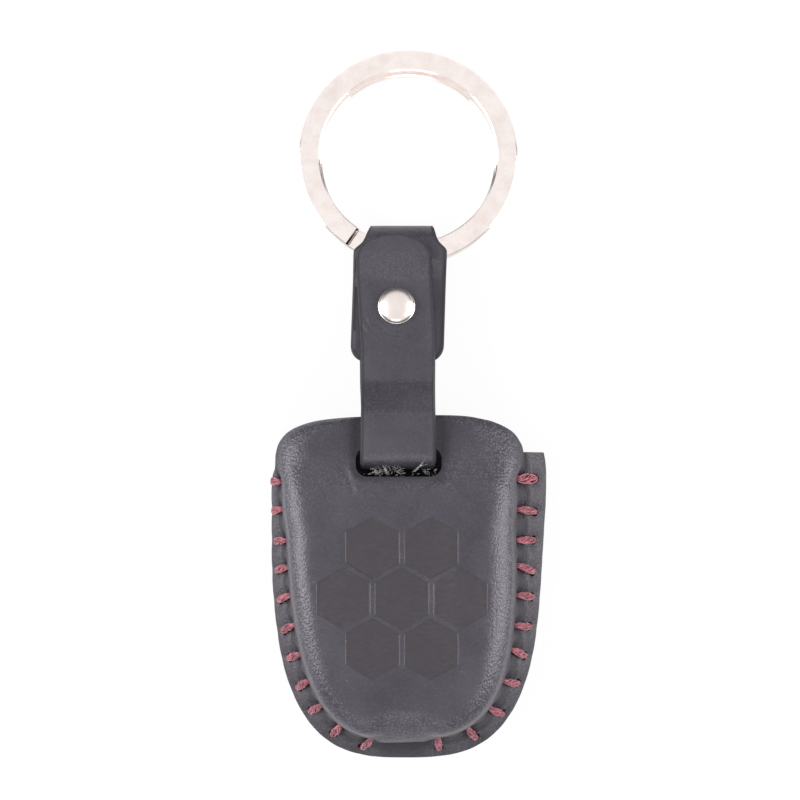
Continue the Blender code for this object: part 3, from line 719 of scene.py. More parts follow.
@dataclass(frozen=True)
class CaseForm:
    """Outline and section of the moulded case."""

    widest_y: float = 14.5
    half_width: float = 22.0
    bottom_reach: float = 41.8
    top_reach: float = 13.2
    bottom_power: float = 3.1
    top_power: float = 4.5
    leather: float = 1.4
    seam_z: float = 8.0
    seam_gap: float = 0.25
    seam_margin: float = 1.6
    sewn_margin: float = 0.42
    bottom_lift: float = 0.40
    top_lift: float = 0.72
    top_slope: float = 0.012
    # Where along the case the sewn margin, the bottom and the top start to change, and how far on.
    sewn_ramp: Pair = (3.0, 5.0)
    bottom_ramp: Pair = (-14.0, 12.0)
    top_ramp: Pair = (18.0, 7.0)
    twist_degrees: float = 2.5
    widest_z: float = 5.2
    front_corner: Pair = (9.5, 8.6)
    front_crown: float = 0.4
    right_ease: float = 0.34
    front_insets: tuple[float, ...] = (0.0, 0.06, 0.115, 0.165, 0.26, 0.50, 1.0)
    bottom_insets: tuple[float, ...] = (0.0, 0.04, 0.09, 0.18, 0.42, 0.72, 1.0)
    front_rises: tuple[float, ...] = (0.0, 0.10, 0.22, 0.48, 0.76, 0.94, 1.0)
    back_corner: float = 6.0
    back_insets: tuple[float, ...] = (0.0, 0.04, 0.17, 0.43, 1.0)
    back_drops: tuple[float, ...] = (0.0, 0.35, 0.68, 0.92, 1.0)
    top_inset_share: float = 0.15
    back_shift: float = 0.3
    ear_reach: float = 0.6
    tuck_reach: float = 1.1
    tuck_span: float = 4.0
    # Half length of the bottom that is not sewn, its middle, how softly it ends and its top.
    loose_stretch: tuple[float, float, float, float] = (7.2, -0.3, 5.0, -15.0)
    flare_start: float = 0.3
    mouth_insets: tuple[float, ...] = (0.0, 0.01, 0.03, 0.08, 0.24, 0.55, 1.0)
    stitch_y: float = 17.2
    mouth_depth: float = 5.6
    mouth_blend: float = 18.7
    mouth_fall: float = 3.5
    mouth_rise: float = 3.0
    lip_z: float = 11.8
    tongue_z: float = 4.2
    tongue_setback: float = 0.6
    slot_x: float = -1.0
    slot_width: float = 13.6
    slot_length: float = 4.6
    bridge_length: float = 4.6
    slot_corner: float = 1.8

    @property
    def top_y(self) -> float:
        """Where the case ends towards the ring."""
        return self.widest_y + self.top_reach

    @property
    def mouth_y(self) -> float:
        """Where the seam stops and the mouth starts."""
        return self.top_y - self.mouth_depth

    @property
    def slot_y(self) -> Pair:
        """Lower and upper edge of the strap slot."""
        top = self.top_y - self.bridge_length
        return top - self.slot_length, top

    @property
    def pole(self) -> Array:
        """Middle of the case, where its rings close."""
        return np.array([0.0, self.widest_y - (self.bottom_reach - self.top_reach) / 2])

    def outline(self, angle: Array, side: Array, top: Array) -> Array:
        """Outline points at an inset from the sides and from the top.

        Args:
            angle: Directions from the middle of the widest line.
            side: Inset from the sides and the bottom.
            top: Inset from the top.

        Returns:
            Points (x, y).
        """
        across, along = np.cos(angle), np.sin(angle)
        reach = np.where(along > 0, self.top_reach - top, self.bottom_reach - side)
        power = np.where(along > 0, self.top_power, self.bottom_power)
        inside = np.abs(across / (self.half_width - side)) ** power + np.abs(along / reach) ** power
        radius = inside ** (-1.0 / power)
        return np.stack([radius * across, self.widest_y + radius * along], axis=-1)

    def seam_outline(self, angle: Array, inset: Array) -> Array:
        """Outline of the front at an inset from the seam.

        Args:
            angle: Directions from the middle of the widest line.
            inset: Distance from the seam.

        Returns:
            Points (x, y).
        """
        margin, top = self.seam_margin + inset, inset * self.top_inset_share
        flat = self.outline(angle, margin, top)
        start, span = self.sewn_ramp
        sewn = self.sewn_margin * smooth((self.stitch_y - start - flat[..., 1]) / span)
        flat = self.outline(angle, margin + sewn, top)
        turn = math.radians(self.twist_degrees)
        x, y = flat[..., 0], flat[..., 1]
        x, y = x * math.cos(turn) - y * math.sin(turn), x * math.sin(turn) + y * math.cos(turn)
        start, span = self.bottom_ramp
        y = y + self.bottom_lift * smooth((start - y) / span)
        start, span = self.top_ramp
        y = y + smooth((y - start) / span) * (self.top_lift - self.top_slope * x)
        return np.stack([x, y], axis=-1)

    def back_outline(self, angle: Array, inset: Array) -> Array:
        """Outline of the back at an inset, with the ear at the mouth's right.

        Args:
            angle: Directions from the middle of the widest line.
            inset: Distance from its widest outline.

        Returns:
            Points (x, y).
        """
        flat = self.outline(angle, inset, inset * self.top_inset_share)
        ear = self.ear_reach * np.maximum(0.0, flat[..., 0] / self.half_width)
        tuck = self.tuck_reach * np.maximum(0.0, -flat[..., 0] / self.half_width)
        flat[..., 0] += (self.back_shift + ear * smooth(flat[..., 1] / self.stitch_y)
                         + tuck * smooth((flat[..., 1] - self.stitch_y - self.flare_start)
                                         / self.tuck_span))
        return flat

    def loose_share(self, flat: Array) -> Array:
        """How far a place is in the stretch of the bottom that is not sewn."""
        half, middle, soft, top = self.loose_stretch
        return smooth((half - np.abs(flat[..., 0] - middle)) / soft) * (flat[..., 1] < top)

    def mouth_share(self, y: Array) -> Array:
        """How far a place is towards the mouth."""
        return smooth((y - self.top_y + self.mouth_blend) / self.mouth_blend)

    def front_top(self, y: float) -> float:
        """Height of the front's top at a place along the case, without its crown."""
        share = float(self.mouth_share(np.array(y)))
        return self.seam_z + self.seam_gap + self.front_corner[1] - self.mouth_fall * share

    def front(self, angle: Array, level: Array) -> Array:
        """Points of the front's outer face; level 0 is the seam and 6 the start of the crown.

        Args:
            angle: Directions from the middle of the widest line.
            level: How far up the face.

        Returns:
            Points (x, y, z).
        """
        width, height = self.front_corner
        width = width * (1.0 + self.right_ease * smooth(np.cos(angle) * 1.6))
        start = self.stitch_y + self.flare_start
        seam = self.seam_outline(angle, 0.0 * angle)
        flare = smooth((seam[..., 1] - start) / (self.mouth_y - start))
        loose = self.loose_share(seam)
        tables = (self.front_insets, self.mouth_insets, self.bottom_insets, self.front_rises)
        sewn, plain, bottom, rise = (along_table(table, level) for table in tables)
        inset = sewn + (plain - sewn) * flare + (bottom - sewn) * loose
        flat = self.seam_outline(angle, width * inset)
        fall = self.mouth_fall * self.mouth_share(flat[..., 1])
        z = self.seam_z + self.seam_gap + rise * (height - fall)
        return np.concatenate([flat, z[..., None]], axis=-1)

    def back(self, angle: Array, level: Array) -> Array:
        """Points of the back's outer face; level 0 is the seam, 1 the widest and 5 the flat.

        Args:
            angle: Directions from the middle of the widest line.
            level: How far down the face.

        Returns:
            Points (x, y, z).
        """
        band = np.clip(level, 0.0, 1.0)[..., None]
        inset = self.back_corner * along_table(self.back_insets, np.maximum(level - 1.0, 0.0))
        wide = self.back_outline(angle, inset)
        flat = self.seam_outline(angle, inset * 0.0) * (1 - band) + wide * band
        drop = along_table(self.back_drops, np.maximum(level - 1.0, 0.0))
        lift = self.mouth_rise * self.mouth_share(flat[..., 1])
        low = self.widest_z - drop * (self.widest_z - lift)
        z = self.seam_z + (self.widest_z - self.seam_z) * band[..., 0]
        z = np.where(level > 1.0, low, z)
        return np.concatenate([flat, z[..., None]], axis=-1)

    def grid(self, face: Face, steps: int, corner_rings: int, crown_rings: int) -> Array:
        """Whole outer face as rings from the seam to near the pole.

        Args:
            face: Front or back.
            steps: Points in each ring.
            corner_rings: Rings from the seam over the shoulder.
            crown_rings: Rings from there to the pole.

        Returns:
            Points, rings by steps by three.
        """
        angle = math.tau * (np.arange(steps) + 0.5) / steps
        last = len(self.front_rises) - 1 if face is Face.FRONT else len(self.back_drops)
        level = np.linspace(0.0, last, corner_rings)[:, None]
        surface = self.front if face is Face.FRONT else self.back
        outer = surface(angle[None, :] + 0.0 * level, level + 0.0 * angle[None, :])
        share = np.linspace(1.0, 0.02, crown_rings + 1)[1:, None, None]
        flat = self.pole + (outer[-1:, :, :2] - self.pole) * share
        bend = self.mouth_share(flat[..., 1])
        if face is Face.FRONT:
            z = self.seam_z + self.seam_gap + self.front_corner[1] - self.mouth_fall * bend
            z = z + self.front_crown * (1.0 - share[..., 0] ** 2)
        else:
            z = self.mouth_rise * bend
        return np.concatenate([outer, np.concatenate([flat, z[..., None]], axis=-1)])


@dataclass
class StitchRun:
    """One continuous whip stitch along a side: flat waxed thread of many filaments."""

    form: CaseForm
    side: Side
    first_y: Pair = (17.56, 17.93)
    gaps: tuple = ((4.75, 4.89, 4.57, 4.69, 4.9, 4.6, 4.78, 4.4, 4.9, 5.36),
                   (5.08, 4.77, 4.65, 4.37, 4.84, 4.48, 4.82, 5.33, 5.44, 5.69))
    leans: tuple = ((-1, 13, 8, 20, 25, 26, 14, 19, 3, 1, -24),
                    (6, 7, 7, 26, 12, 7, 20, 0, -5, -6, 0))
    front_level: float = 2.0
    back_level: float = 0.52
    # A real filament is a tenth of this, too fine to show, so fewer and coarser ones are drawn.
    filament: float = 0.15
    filaments: int = 13
    filament_sides: int = 6
    half_width: float = 0.46
    half_height: float = 0.17
    twist_mm: float = 9.0
    # Every fourth filament runs in the core, this share of the way out.
    core_share: float = 0.35
    first_wide: float = 1.55
    row_step: float = 0.20
    seed: int = 5
    # Height over the leather and spread of the thread at the points of one stitch.
    lifts: tuple[float, ...] = (-2.3, -0.75, -0.06, 0.13, 0.20, 0.20, 0.16, 0.13, -0.02, -0.75,
                                -2.3)
    spreads: tuple[float, ...] = (0.45, 0.45, 0.62, 0.92, 1.10, 1.12, 1.08, 0.95, 0.66, 0.45, 0.45)
    # Points of a stitch as shares of the way from the front's seam to its hole, and of the back's.
    front_marks: tuple[float, ...] = (1.0, 0.94, 0.66, 0.34, 0.04)
    back_marks: tuple[float, ...] = (0.10, 0.42, 0.90, 1.0)

    def crossings(self) -> list[tuple[Array, Array]]:
        """Where each stitch crosses the seam and its direction to the back, seen from above.

        Returns:
            Place and direction of each stitch.
        """
        which = int(self.side is Side.RIGHT)
        angle = np.linspace(math.pi / 2, math.pi / 2 - self.side.value * math.pi, 2001)
        line = self.form.seam_outline(angle, 0.0 * angle)
        line = line[line[:, 1] <= self.first_y[which]]
        run, tangent = lengths_of(line), unit(np.gradient(line, axis=0))
        found = []
        for along, lean in zip(np.cumsum([0.0, *self.gaps[which]]), np.radians(self.leans[which])):
            place, way = (np.array([np.interp(along, run, row[:, i]) for i in range(2)])
                          for row in (line, tangent))
            outward = np.array([-way[1], way[0]]) * self.side.value
            found.append((place, outward * math.cos(lean) + way * math.sin(lean)))
        return found

    def angle_on(self, surface: Callable, level: float, place: Array, way: Array) -> float:
        """Angle at which a face's line of one level meets a line seen from above.

        Args:
            surface: Front or back face of the case.
            level: Line on that face.
            place: Place of the stitch.
            way: Its direction.

        Returns:
            The angle.
        """
        middle = place - np.array([0.0, self.form.widest_y])
        guess = math.atan2(middle[1], middle[0])
        turns = guess + np.linspace(-0.35, 0.35, 701)
        flat = surface(turns, np.full(701, level))[:, :2] - place
        off = np.abs(flat[:, 0] * way[1] - flat[:, 1] * way[0])
        return float(turns[int(np.argmin(off))])

    def stitches(self) -> list[tuple[Array, Array]]:
        """Places over the leather and directions out of it, across the seam, for each stitch.

        Returns:
            Places and directions of each stitch, front first.
        """
        front, back = self.form.front, self.form.back
        marks = [(front, self.front_level * share) for share in self.front_marks]
        marks += [(back, self.back_level * share) for share in self.back_marks]
        found = []
        for place, way in self.crossings():
            spots = [self.spot(surface, self.angle_on(surface, level, place, way), level)
                     for surface, level in marks]
            found.append(tuple(np.array(column) for column in zip(*spots)))
        return found

    def spot(self, surface: Callable, angle: float, level: float) -> tuple[Array, Array]:
        """Place on a face and the direction out of it.

        Args:
            surface: Front or back face of the case.
            angle: Where round the case.
            level: Line on that face.

        Returns:
            The place and the direction.
        """
        step = 0.02

        def one(turn: float, height: float) -> Array:
            """One point of the face."""
            return surface(np.array([turn]), np.array([height]))[0]

        around = one(angle + step, level) - one(angle - step, level)
        across = one(angle, level + step) - one(angle, max(level - step, 0.0))
        normal = unit(np.cross(around, across))
        place = one(angle, level)
        middle = np.array([0.0, self.form.widest_y, self.form.seam_z])
        return place, normal if normal @ (place - middle) > 0 else -normal

    def route(self) -> Array:
        """Thread's middle line, outward direction and spread, as rows of seven numbers.

        Returns:
            Rows of x, y, z, the direction's x, y, z and the spread.
        """
        rows = []
        for index, (places, ways) in enumerate(self.stitches()):
            wide = self.first_wide if index == 0 and self.side is Side.RIGHT else 1.0
            places, ways = (np.concatenate([row[:1], row, row[-1:]]) for row in (places, ways))
            points = places + ways * np.array(self.lifts)[:, None]
            sides = ways.copy()
            sides[:2], sides[-2:] = unit(places[1] - places[4]), unit(places[-2] - places[-5])
            spreads = np.array(self.spreads)[:, None] * wide
            rows.append(np.concatenate([points, sides, spreads], axis=1))
        dense = curve_through(np.concatenate(rows), 6)
        run = lengths_of(dense[:, :3])
        wanted = np.linspace(0.0, run[-1], int(run[-1] / self.row_step))
        return np.stack([np.interp(wanted, run, dense[:, i]) for i in range(7)], axis=1)

    def build(self, finish: Finish) -> Piece:
        """Lay the filaments along the route.

        Args:
            finish: Material of the piece.

        Returns:
            The run as one piece.
        """
        rng = np.random.default_rng(self.seed * 7 + self.side.value)
        data = self.route()
        line, spread = data[:, :3], data[:, 6]
        tangent = unit(np.gradient(line, axis=0))
        across = unit(np.cross(tangent, unit(data[:, 3:6])))
        up = np.cross(across, tangent)
        run = lengths_of(line)
        bodies, along, strand = [], [], []
        for index in range(self.filaments):
            core = self.core_share if index % 4 == 3 else 1.0
            turn = (math.tau * (index / self.filaments + run / self.twist_mm)
                    + 0.35 * np.sin(run / rng.uniform(0.8, 1.6) + rng.uniform(0.0, math.tau)))
            centre = (line + across * (self.half_width * core * spread * np.cos(turn))[:, None]
                      + up * (self.half_height * core * np.sin(turn))[:, None])
            size = self.filament * rng.uniform(0.85, 1.15)
            bodies.append(tube(centre, across, up, size, self.filament_sides))
            along.append(np.repeat(run, self.filament_sides))
            strand.append(np.full(len(along[-1]), rng.uniform()))
        name = f"{self.side.name.lower()}_whip_stitches"
        item = mesh_object(name, *joined(bodies), finish, 80.0)
        add_values(item, "along_mm", np.concatenate(along))
        add_values(item, "strand", np.concatenate(strand))
        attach(item, "case")
        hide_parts(f"{self.side.name.lower()}_thread")
        return item


def add_values(item: Piece, key: str, values: Array) -> None:
    """Keep one number on each point of a piece for its material.

    Args:
        item: Piece.
        key: Name of the numbers.
        values: One number for each point.
    """
    layer = item.data.attributes.new(key, "FLOAT", "POINT")
    layer.data.foreach_set("value", values.astype(np.float32))


def curve_through(points: Array, steps: int) -> Array:
    """Smooth curve through points.

    Args:
        points: Places to pass.
        steps: Points made between each pair.

    Returns:
        Denser points along the curve.
    """
    before = np.concatenate([points[:1], points[:-1]])
    after = np.concatenate([points[1:], points[-1:]])
    rows = []
    for index in range(len(points) - 1):
        t = np.linspace(0.0, 1.0, steps, endpoint=False)[:, None]
        p0, p1, p2, p3 = before[index], points[index], after[index], after[index + 1]
        rows.append(0.5 * (2 * p1 + (p2 - p0) * t + (2 * p0 - 5 * p1 + 4 * p2 - p3) * t * t
                           + (3 * p1 - p0 - 3 * p2 + p3) * t ** 3))
    return np.concatenate(rows + [points[-1:]])


def carried_frames(line: Array) -> tuple[Array, Array]:
    """Directions across a line that turn as little as they can.

    Args:
        line: Points of the line.

    Returns:
        Two directions across it, at right angles, at each point.
    """
    tangent = unit(np.gradient(line, axis=0))
    normal = np.zeros_like(line)
    normal[0] = unit(np.cross(tangent[0], [0.3, 0.5, 0.8]))
    for index in range(1, len(line)):
        kept = normal[index - 1] - tangent[index] * (normal[index - 1] @ tangent[index])
        normal[index] = unit(kept)
    return normal, np.cross(tangent, normal)


def prism_object(name: str, outline: list[Pair], low: float, high: float, along_x: bool) -> Piece:
    """Cutter with a flat outline, drawn out along X or along Z.

    Args:
        name: Name of the cutter.
        outline: Its outline, as pairs.
        low: Where it starts.
        high: Where it ends.
        along_x: The outline is in YZ and it runs along X.

    Returns:
        The cutter.
    """
    ends = []
    for depth in (low, high):
        ends.append([(depth, a, b) if along_x else (a, b, depth) for a, b in outline])
    points, faces = swept(np.array(ends))
    return mesh_object(name, points, faces, bpy.data.materials.new(name))


def cut_and_apply(item: Piece, cutters: list[Piece]) -> None:
    """Take cutters out of a piece for good, and delete them.

    Args:
        item: Piece to cut.
        cutters: Closed bodies.
    """
    for cutter in cutters:
        modifier = item.modifiers.new(cutter.name, "BOOLEAN")
        modifier.operation = "DIFFERENCE"
        modifier.solver = "MANIFOLD"
        modifier.object = cutter
    bpy.context.view_layer.update()
    ready = item.evaluated_get(bpy.context.evaluated_depsgraph_get())
    mesh = bpy.data.meshes.new_from_object(ready)
    item.modifiers.clear()
    item.data = mesh
    while len(mesh.materials) > 1:
        mesh.materials.pop(index=len(mesh.materials) - 1)
    mesh.polygons.foreach_set("material_index", np.zeros(len(mesh.polygons), np.int32))
    for cutter in cutters:
        bpy.data.objects.remove(cutter)


def uneven(points: Array, size: float, seed: int) -> Array:
    """Slow random waves over points, from about -1 to 1.

    Args:
        points: Places in millimetres.
        size: Typical length of a wave.
        seed: Number that picks the waves.

    Returns:
        One height for each point.
    """
    rng = np.random.default_rng(seed)
    total = np.zeros(points.shape[:-1])
    for _ in range(9):
        way = unit(rng.normal(size=3)) * math.tau / (size * rng.uniform(0.7, 1.6))
        total += np.sin(points @ way + rng.uniform(0.0, math.tau))
    return total / 4.0


def crease(points: Array, start: Pair, end: Pair, bow: float, width: float, depth: float) -> Array:
    """Soft fold line in the leather, with a raised lip beside it.

    Args:
        points: Places on the leather.
        start: First end (x, y).
        end: Other end (x, y).
        bow: How far its middle is to one side.
        width: Half width of the furrow.
        depth: Depth in its middle.

    Returns:
        Height to add at each point.
    """
    first, last = np.array(start), np.array(end)
    span = last - first
    share = ((points[..., :2] - first) @ span) / (span @ span)
    across = np.array([-span[1], span[0]]) / np.linalg.norm(span)
    off = (points[..., :2] - first) @ across - bow * 4 * share * (1 - share)
    fade = smooth(share / 0.25) * smooth((1 - share) / 0.25)
    furrow = bell(off, width) - 0.6 * bell(off - 2.1 * width, 1.5 * width)
    return -depth * furrow * fade


@dataclass
class Shell:
    """One moulded half of the case, cut out and pricked for the thread."""

    form: CaseForm
    face: Face
    runs: list[StitchRun]
    steps: int = 360
    corner_rings: int = 60
    crown_rings: int = 64
    seam_trim: float = 0.05
    far: float = 10.0
    hole_radius: float = 0.76
    hole_depth: float = 6.0
    back_slot: tuple[float, ...] = (2.55, 0.90, 0.5, 5.95, -1.2)
    rim_round: float = 0.55
    rim_reach: float = 0.50
    # Height, length and seed of the slow waves of the leather.
    waves: tuple = ((0.13, 17.0, 3), (0.045, 5.5, 8))
    # Depth that the thread presses the front and the back, and depth and reach at its holes.
    pressed: Pair = (0.36, 0.16)
    pricked: tuple = ((0.30, 1.1), (0.16, 2.6))
    # Painted shade on the low walls of the front and of the back.
    painted_wall_shade: Pair = (0.78, 0.44)
    slot_swell: float = 0.22
    # Depth, reach and fade of the dips beside the strap.
    slot_dips: Triple = (0.4, 2.4, 2.5)
    # Painted shade in the slot and the unsewn bottom, and along the seam.
    painted_hollow_shade: float = 0.75
    painted_seam_shade: float = 0.95
    # Folds of use: two ends, bow, half width and depth; the first five lie round the slot.
    slot_creases: tuple = (((-7.6, -0.6), (-2.0, -2.2), -0.5, 0.42, 0.16),
                           ((-3.0, -1.6), (4.5, -1.3), 0.3, 0.38, 0.12),
                           ((2.0, -2.6), (8.8, 0.2), 0.6, 0.45, 0.15),
                           ((-9.6, 2.4), (-6.9, -3.4), 0.4, 0.50, 0.14),
                           ((7.4, 3.0), (9.8, -3.2), -0.4, 0.50, 0.14))
    low_creases: tuple = (((-8.5, -17.4), (6.5, -18.6), 0.7, 0.55, 0.04),
                          ((-5.0, -21.2), (9.0, -20.4), -0.6, 0.50, 0.04),
                          ((-10.0, -13.6), (-2.0, -15.8), -0.4, 0.45, 0.04))

    @property
    def key(self) -> str:
        """Front or back, as a word."""
        return self.face.name.lower()

    def relief(self, points: Array, normals: Array) -> Array:
        """How far the leather is above or below its plain form.

        Args:
            points: Places on the outer face.
            normals: Directions out of it.

        Returns:
            One height for each point.
        """
        height = sum(deep * uneven(points, size, seed) for deep, size, seed in self.waves)
        flatness = smooth((np.abs(normals[..., 2]) - 0.4) / 0.5)
        height = height * (0.35 + 0.65 * flatness)
        deep = self.pressed[self.face is Face.BACK]
        for run in self.runs:
            for places, _ in run.stitches():
                tips = places[[0, -1]] if self.face is Face.FRONT else places[[-1, 0]]
                span = tips[1] - tips[0]
                share = np.clip(((points - tips[0]) @ span) / (span @ span), 0.0, 1.0)
                beside = np.linalg.norm(points - tips[0] - share[..., None] * span, axis=-1)
                near = np.linalg.norm(points - tips[0], axis=-1)
                height = height - deep * (bell(beside, 0.95) - 0.4 * bell(beside - 2.0, 0.9))
                for depth, reach in self.pricked:
                    height = height - depth * bell(near, reach)
        if self.face is Face.FRONT:
            height = height + self.front_marks(points, flatness)
        return height

    def front_marks(self, points: Array, flatness: Array) -> Array:
        """Pressed emblem and the folds of use on the front.

        Args:
            points: Places on the front.
            flatness: How level the leather is there.

        Returns:
            One height for each point.
        """
        emblem = Emblem()
        low, _ = self.form.slot_y
        height = -emblem.depth * emblem.mask(points)
        middle, half = self.form.slot_x, self.form.slot_width / 2
        beside = np.abs(points[..., 0] - middle) - half
        deep, reach, fade = self.slot_dips
        dip = deep * bell(beside, reach) * smooth((points[..., 1] - low) / fade)
        height = height - dip * flatness
        swell = bell(points[..., 1] - low + 1.6, 1.6) * bell(points[..., 0] - middle, 8.0)
        height = height + self.slot_swell * swell
        spot = np.array([middle, low])
        marks = [(spot + start, spot + end, *rest) for start, end, *rest in self.slot_creases]
        for mark in (*marks, *self.low_creases):
            height = height + crease(points, *mark) * flatness
        return height

    def cutters(self) -> list[Piece]:
        """Bodies for the mouth, the slot and the stitch holes.

        Returns:
            Closed bodies to take out of the half.
        """
        form, far = self.form, self.far
        edge = form.seam_z + form.seam_gap + self.seam_trim
        start, end = form.widest_y - form.bottom_reach - far, form.top_y + far
        if self.face is Face.FRONT:
            mouth = [(start, edge - far), (end, edge - far), (end, form.lip_z),
                     (form.top_y, form.lip_z), (form.mouth_y, edge), (start, edge)]
            slot = (edge, edge + far)
        else:
            high = form.seam_z + far
            mouth = [(form.mouth_y, high), (form.mouth_y, form.seam_z - form.leather),
                     (form.top_y, form.tongue_z), (end, form.tongue_z), (end, high)]
            slot = (-far, form.seam_z)
        wide = form.half_width + far
        found = [prism_object(self.key + "_mouth_cutter", mouth, -wide, wide, True),
                 prism_object(self.key + "_slot_cutter", self.slot_outline(), *slot, False)]
        if self.face is Face.BACK:
            found.append(prism_object("back_corner_cutter", self.corner_outline(), -2 * far,
                                      2 * far, False))
        found.append(self.hole_cutter())
        return found

    def slot_outline(self) -> list[Pair]:
        """Outline of the strap's slot with round corners.

        Returns:
            Corners (x, y).
        """
        form = self.form
        low, high = form.slot_y
        radius, half = form.slot_corner, form.slot_width / 2
        middle = form.slot_x
        if self.face is Face.BACK:
            down, up, radius, half, middle = self.back_slot
            low, high = high - down, high - up
        points = []
        for x_side, y_side, quarter in ((1, 1, 0), (-1, 1, 1), (-1, -1, 2), (1, -1, 3)):
            x = middle + x_side * (half - radius)
            y = (high if y_side > 0 else low) - y_side * radius
            points += [(x + radius * math.cos(turn), y + radius * math.sin(turn))
                       for turn in (math.pi / 2 * (quarter + step / 8) for step in range(9))]
        return points

    def corner_outline(self) -> list[Pair]:
        """What is trimmed from the back so that its mouth stays inside the front.

        Returns:
            Corners (x, y).
        """
        form = self.form
        angle = np.linspace(0.02, math.pi - 0.02, 90)
        line = form.seam_outline(angle, 0.0 * angle + form.tongue_setback)
        inner = [(x, y - form.tongue_setback) for x, y in line.tolist()
                 if y - form.tongue_setback > form.mouth_y]
        wide, far = form.half_width + self.far, form.top_y + self.far
        return [(wide, form.mouth_y), (inner[0][0], form.mouth_y), *inner,
                (inner[-1][0], form.mouth_y), (-wide, form.mouth_y), (-wide, far), (wide, far)]

    def hole_cutter(self) -> Piece:
        """Pins for all stitch holes, as one body of separate parts.

        Returns:
            The cutter.
        """
        maker = bmesh.new()
        for run in self.runs:
            for places, ways in run.stitches():
                tip = 0 if self.face is Face.FRONT else -1
                place, way = Vector(places[tip]), Vector(ways[tip])
                turn = way.to_track_quat("Z", "Y").to_matrix().to_4x4()
                bmesh.ops.create_cone(maker, cap_ends=True, segments=16, depth=self.hole_depth * MM,
                                      radius1=self.hole_radius * MM, radius2=self.hole_radius * MM,
                                      matrix=Matrix.Translation(place * MM) @ turn)
        mesh = bpy.data.meshes.new(self.key + "_hole_cutter")
        maker.to_mesh(mesh)
        maker.free()
        item = bpy.data.objects.new(mesh.name, mesh)
        bpy.context.scene.collection.objects.link(item)
        return item

    def add_shade(self, item: Piece) -> None:
        """Mark painted shade on the leather: low walls, seam, holes, slot and the unsewn bottom.

        Args:
            item: The half, cut out.
        """
        mesh, form = item.data, self.form
        points = np.zeros(len(mesh.vertices) * 3)
        mesh.vertices.foreach_get("co", points)
        points = points.reshape(-1, 3) / MM
        top = form.seam_z + form.seam_gap + 0.62 * form.front_corner[1]
        fall = form.mouth_fall * form.mouth_share(points[:, 1])
        loose = form.loose_share(points)
        # Painted shade on the low walls, darker towards the seam and lighter in the open stretch of
        # the bottom.
        strong = self.painted_wall_shade[self.face is Face.BACK]
        dark = strong * smooth((top - 0.6 * fall - points[:, 2]) / 2.2) * (1.0 - 0.7 * loose)
        # Painted shade along the seam between the halves and round each stitch hole.
        seam = bell(points[:, 2] - form.seam_z - form.seam_gap / 2, 0.35)
        dark = np.maximum(dark, self.painted_seam_shade * seam)
        for run in self.runs:
            for places, _ in run.stitches():
                tip = places[0] if self.face is Face.FRONT else places[-1]
                dark = np.maximum(dark, bell(np.linalg.norm(points - tip, axis=1), 0.95))
        if self.face is Face.FRONT:
            # Painted shadow round the strap's slot.
            low, high = form.slot_y
            x = np.abs(points[:, 0] - form.slot_x) - form.slot_width / 2
            y = np.maximum(low - points[:, 1], points[:, 1] - high - form.bridge_length)
            beside = np.hypot(np.maximum(x, 0.0), np.maximum(y, 0.0))
            dark = np.maximum(dark, self.painted_hollow_shade * bell(beside, 0.9))
        else:
            # Painted shade in the open stretch of the bottom.
            dark = np.maximum(dark, self.painted_hollow_shade * loose)
        add_values(item, "shade", dark)

    def build(self, finish: Finish) -> Piece:
        """Make the half and put it in the place of its CAD node.

        Args:
            finish: Material of the piece.

        Returns:
            The half as one piece.
        """
        grid = self.form.grid(self.face, self.steps, self.corner_rings, self.crown_rings)
        normals = grid_normals(grid)
        middle = np.array([0.0, self.form.pole[1], self.form.seam_z])
        if ((grid - middle) * normals).sum() < 0:
            normals = -normals
        rim = np.linalg.norm(grid - grid[:1], axis=-1)
        apart = smooth((5.4 - np.abs(grid[..., 0] - 0.3)) / 1.6) * (grid[..., 1] < 0)
        relief = self.relief(grid, normals) - ((self.rim_round + 0.5 * apart)
                                               * bell(rim, self.rim_reach * (1.0 + apart)))
        outer = grid + normals * relief[..., None]
        inner = grid - normals * self.form.leather
        points, faces = closed_sheet(outer, inner)
        item = mesh_object(f"{self.key}_leather_shell", points, faces, finish)
        cut_and_apply(item, self.cutters())
        item.data.shade_smooth()
        item.data.set_sharp_from_angle(angle=math.radians(50))
        self.add_shade(item)
        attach(item, "case")
        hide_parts(f"{self.key}_shell")
        return item


@dataclass(frozen=True)
class StackForm:
    """Places of the strap, tab, rivet and ring, in the frame that tilts at the neck."""

    neck: Pair = (34.0, 8.5)
    tilt_degrees: float = 7.911
    strap_x: float = -1.2
    strap_half: float = 6.0
    strap_thick: float = 1.3
    strap_level: float = 2.2
    clearance: float = 0.3
    floor_gap: float = 0.1
    neck_pinch: float = 1.6
    tab_thick: float = 0.9
    leaf_gap: float = 0.3
    tab_half: float = 7.5
    tab_reach: float = 9.0
    fold_radius: float = 3.2
    fold_taper: float = 4.8
    rivet_y: float = 11.8
    fold_y: float = 20.9
    past_fold: float = 1.35
    back_reach: float = 3.8
    cap_radius: float = 3.0
    cap_place: Pair = (-1.35, 11.35)
    ring_place: Pair = (0.54, 36.4)

    @property
    def strap_top(self) -> float:
        """Height of the strap's middle over the fold."""
        outer = self.fold_radius + self.tab_thick
        return outer + 2 * self.clearance + self.strap_thick / 2

    def world(self, points: Array) -> Array:
        """Bring points (x, y, z) of the tilted frame into the model's frame.

        Args:
            points: Places in the tilted frame.

        Returns:
            The same places in the model.
        """
        turn = math.radians(self.tilt_degrees)
        y, z = points[..., 1], points[..., 2]
        return np.stack([points[..., 0], self.neck[0] + y * math.cos(turn) + z * math.sin(turn),
                         self.neck[1] - y * math.sin(turn) + z * math.cos(turn)], axis=-1)

    def world_yz(self, y: float, z: float) -> Pair:
        """Same for a single place in YZ."""
        spot = self.world(np.array([0.0, y, z]))
        return float(spot[1]), float(spot[2])


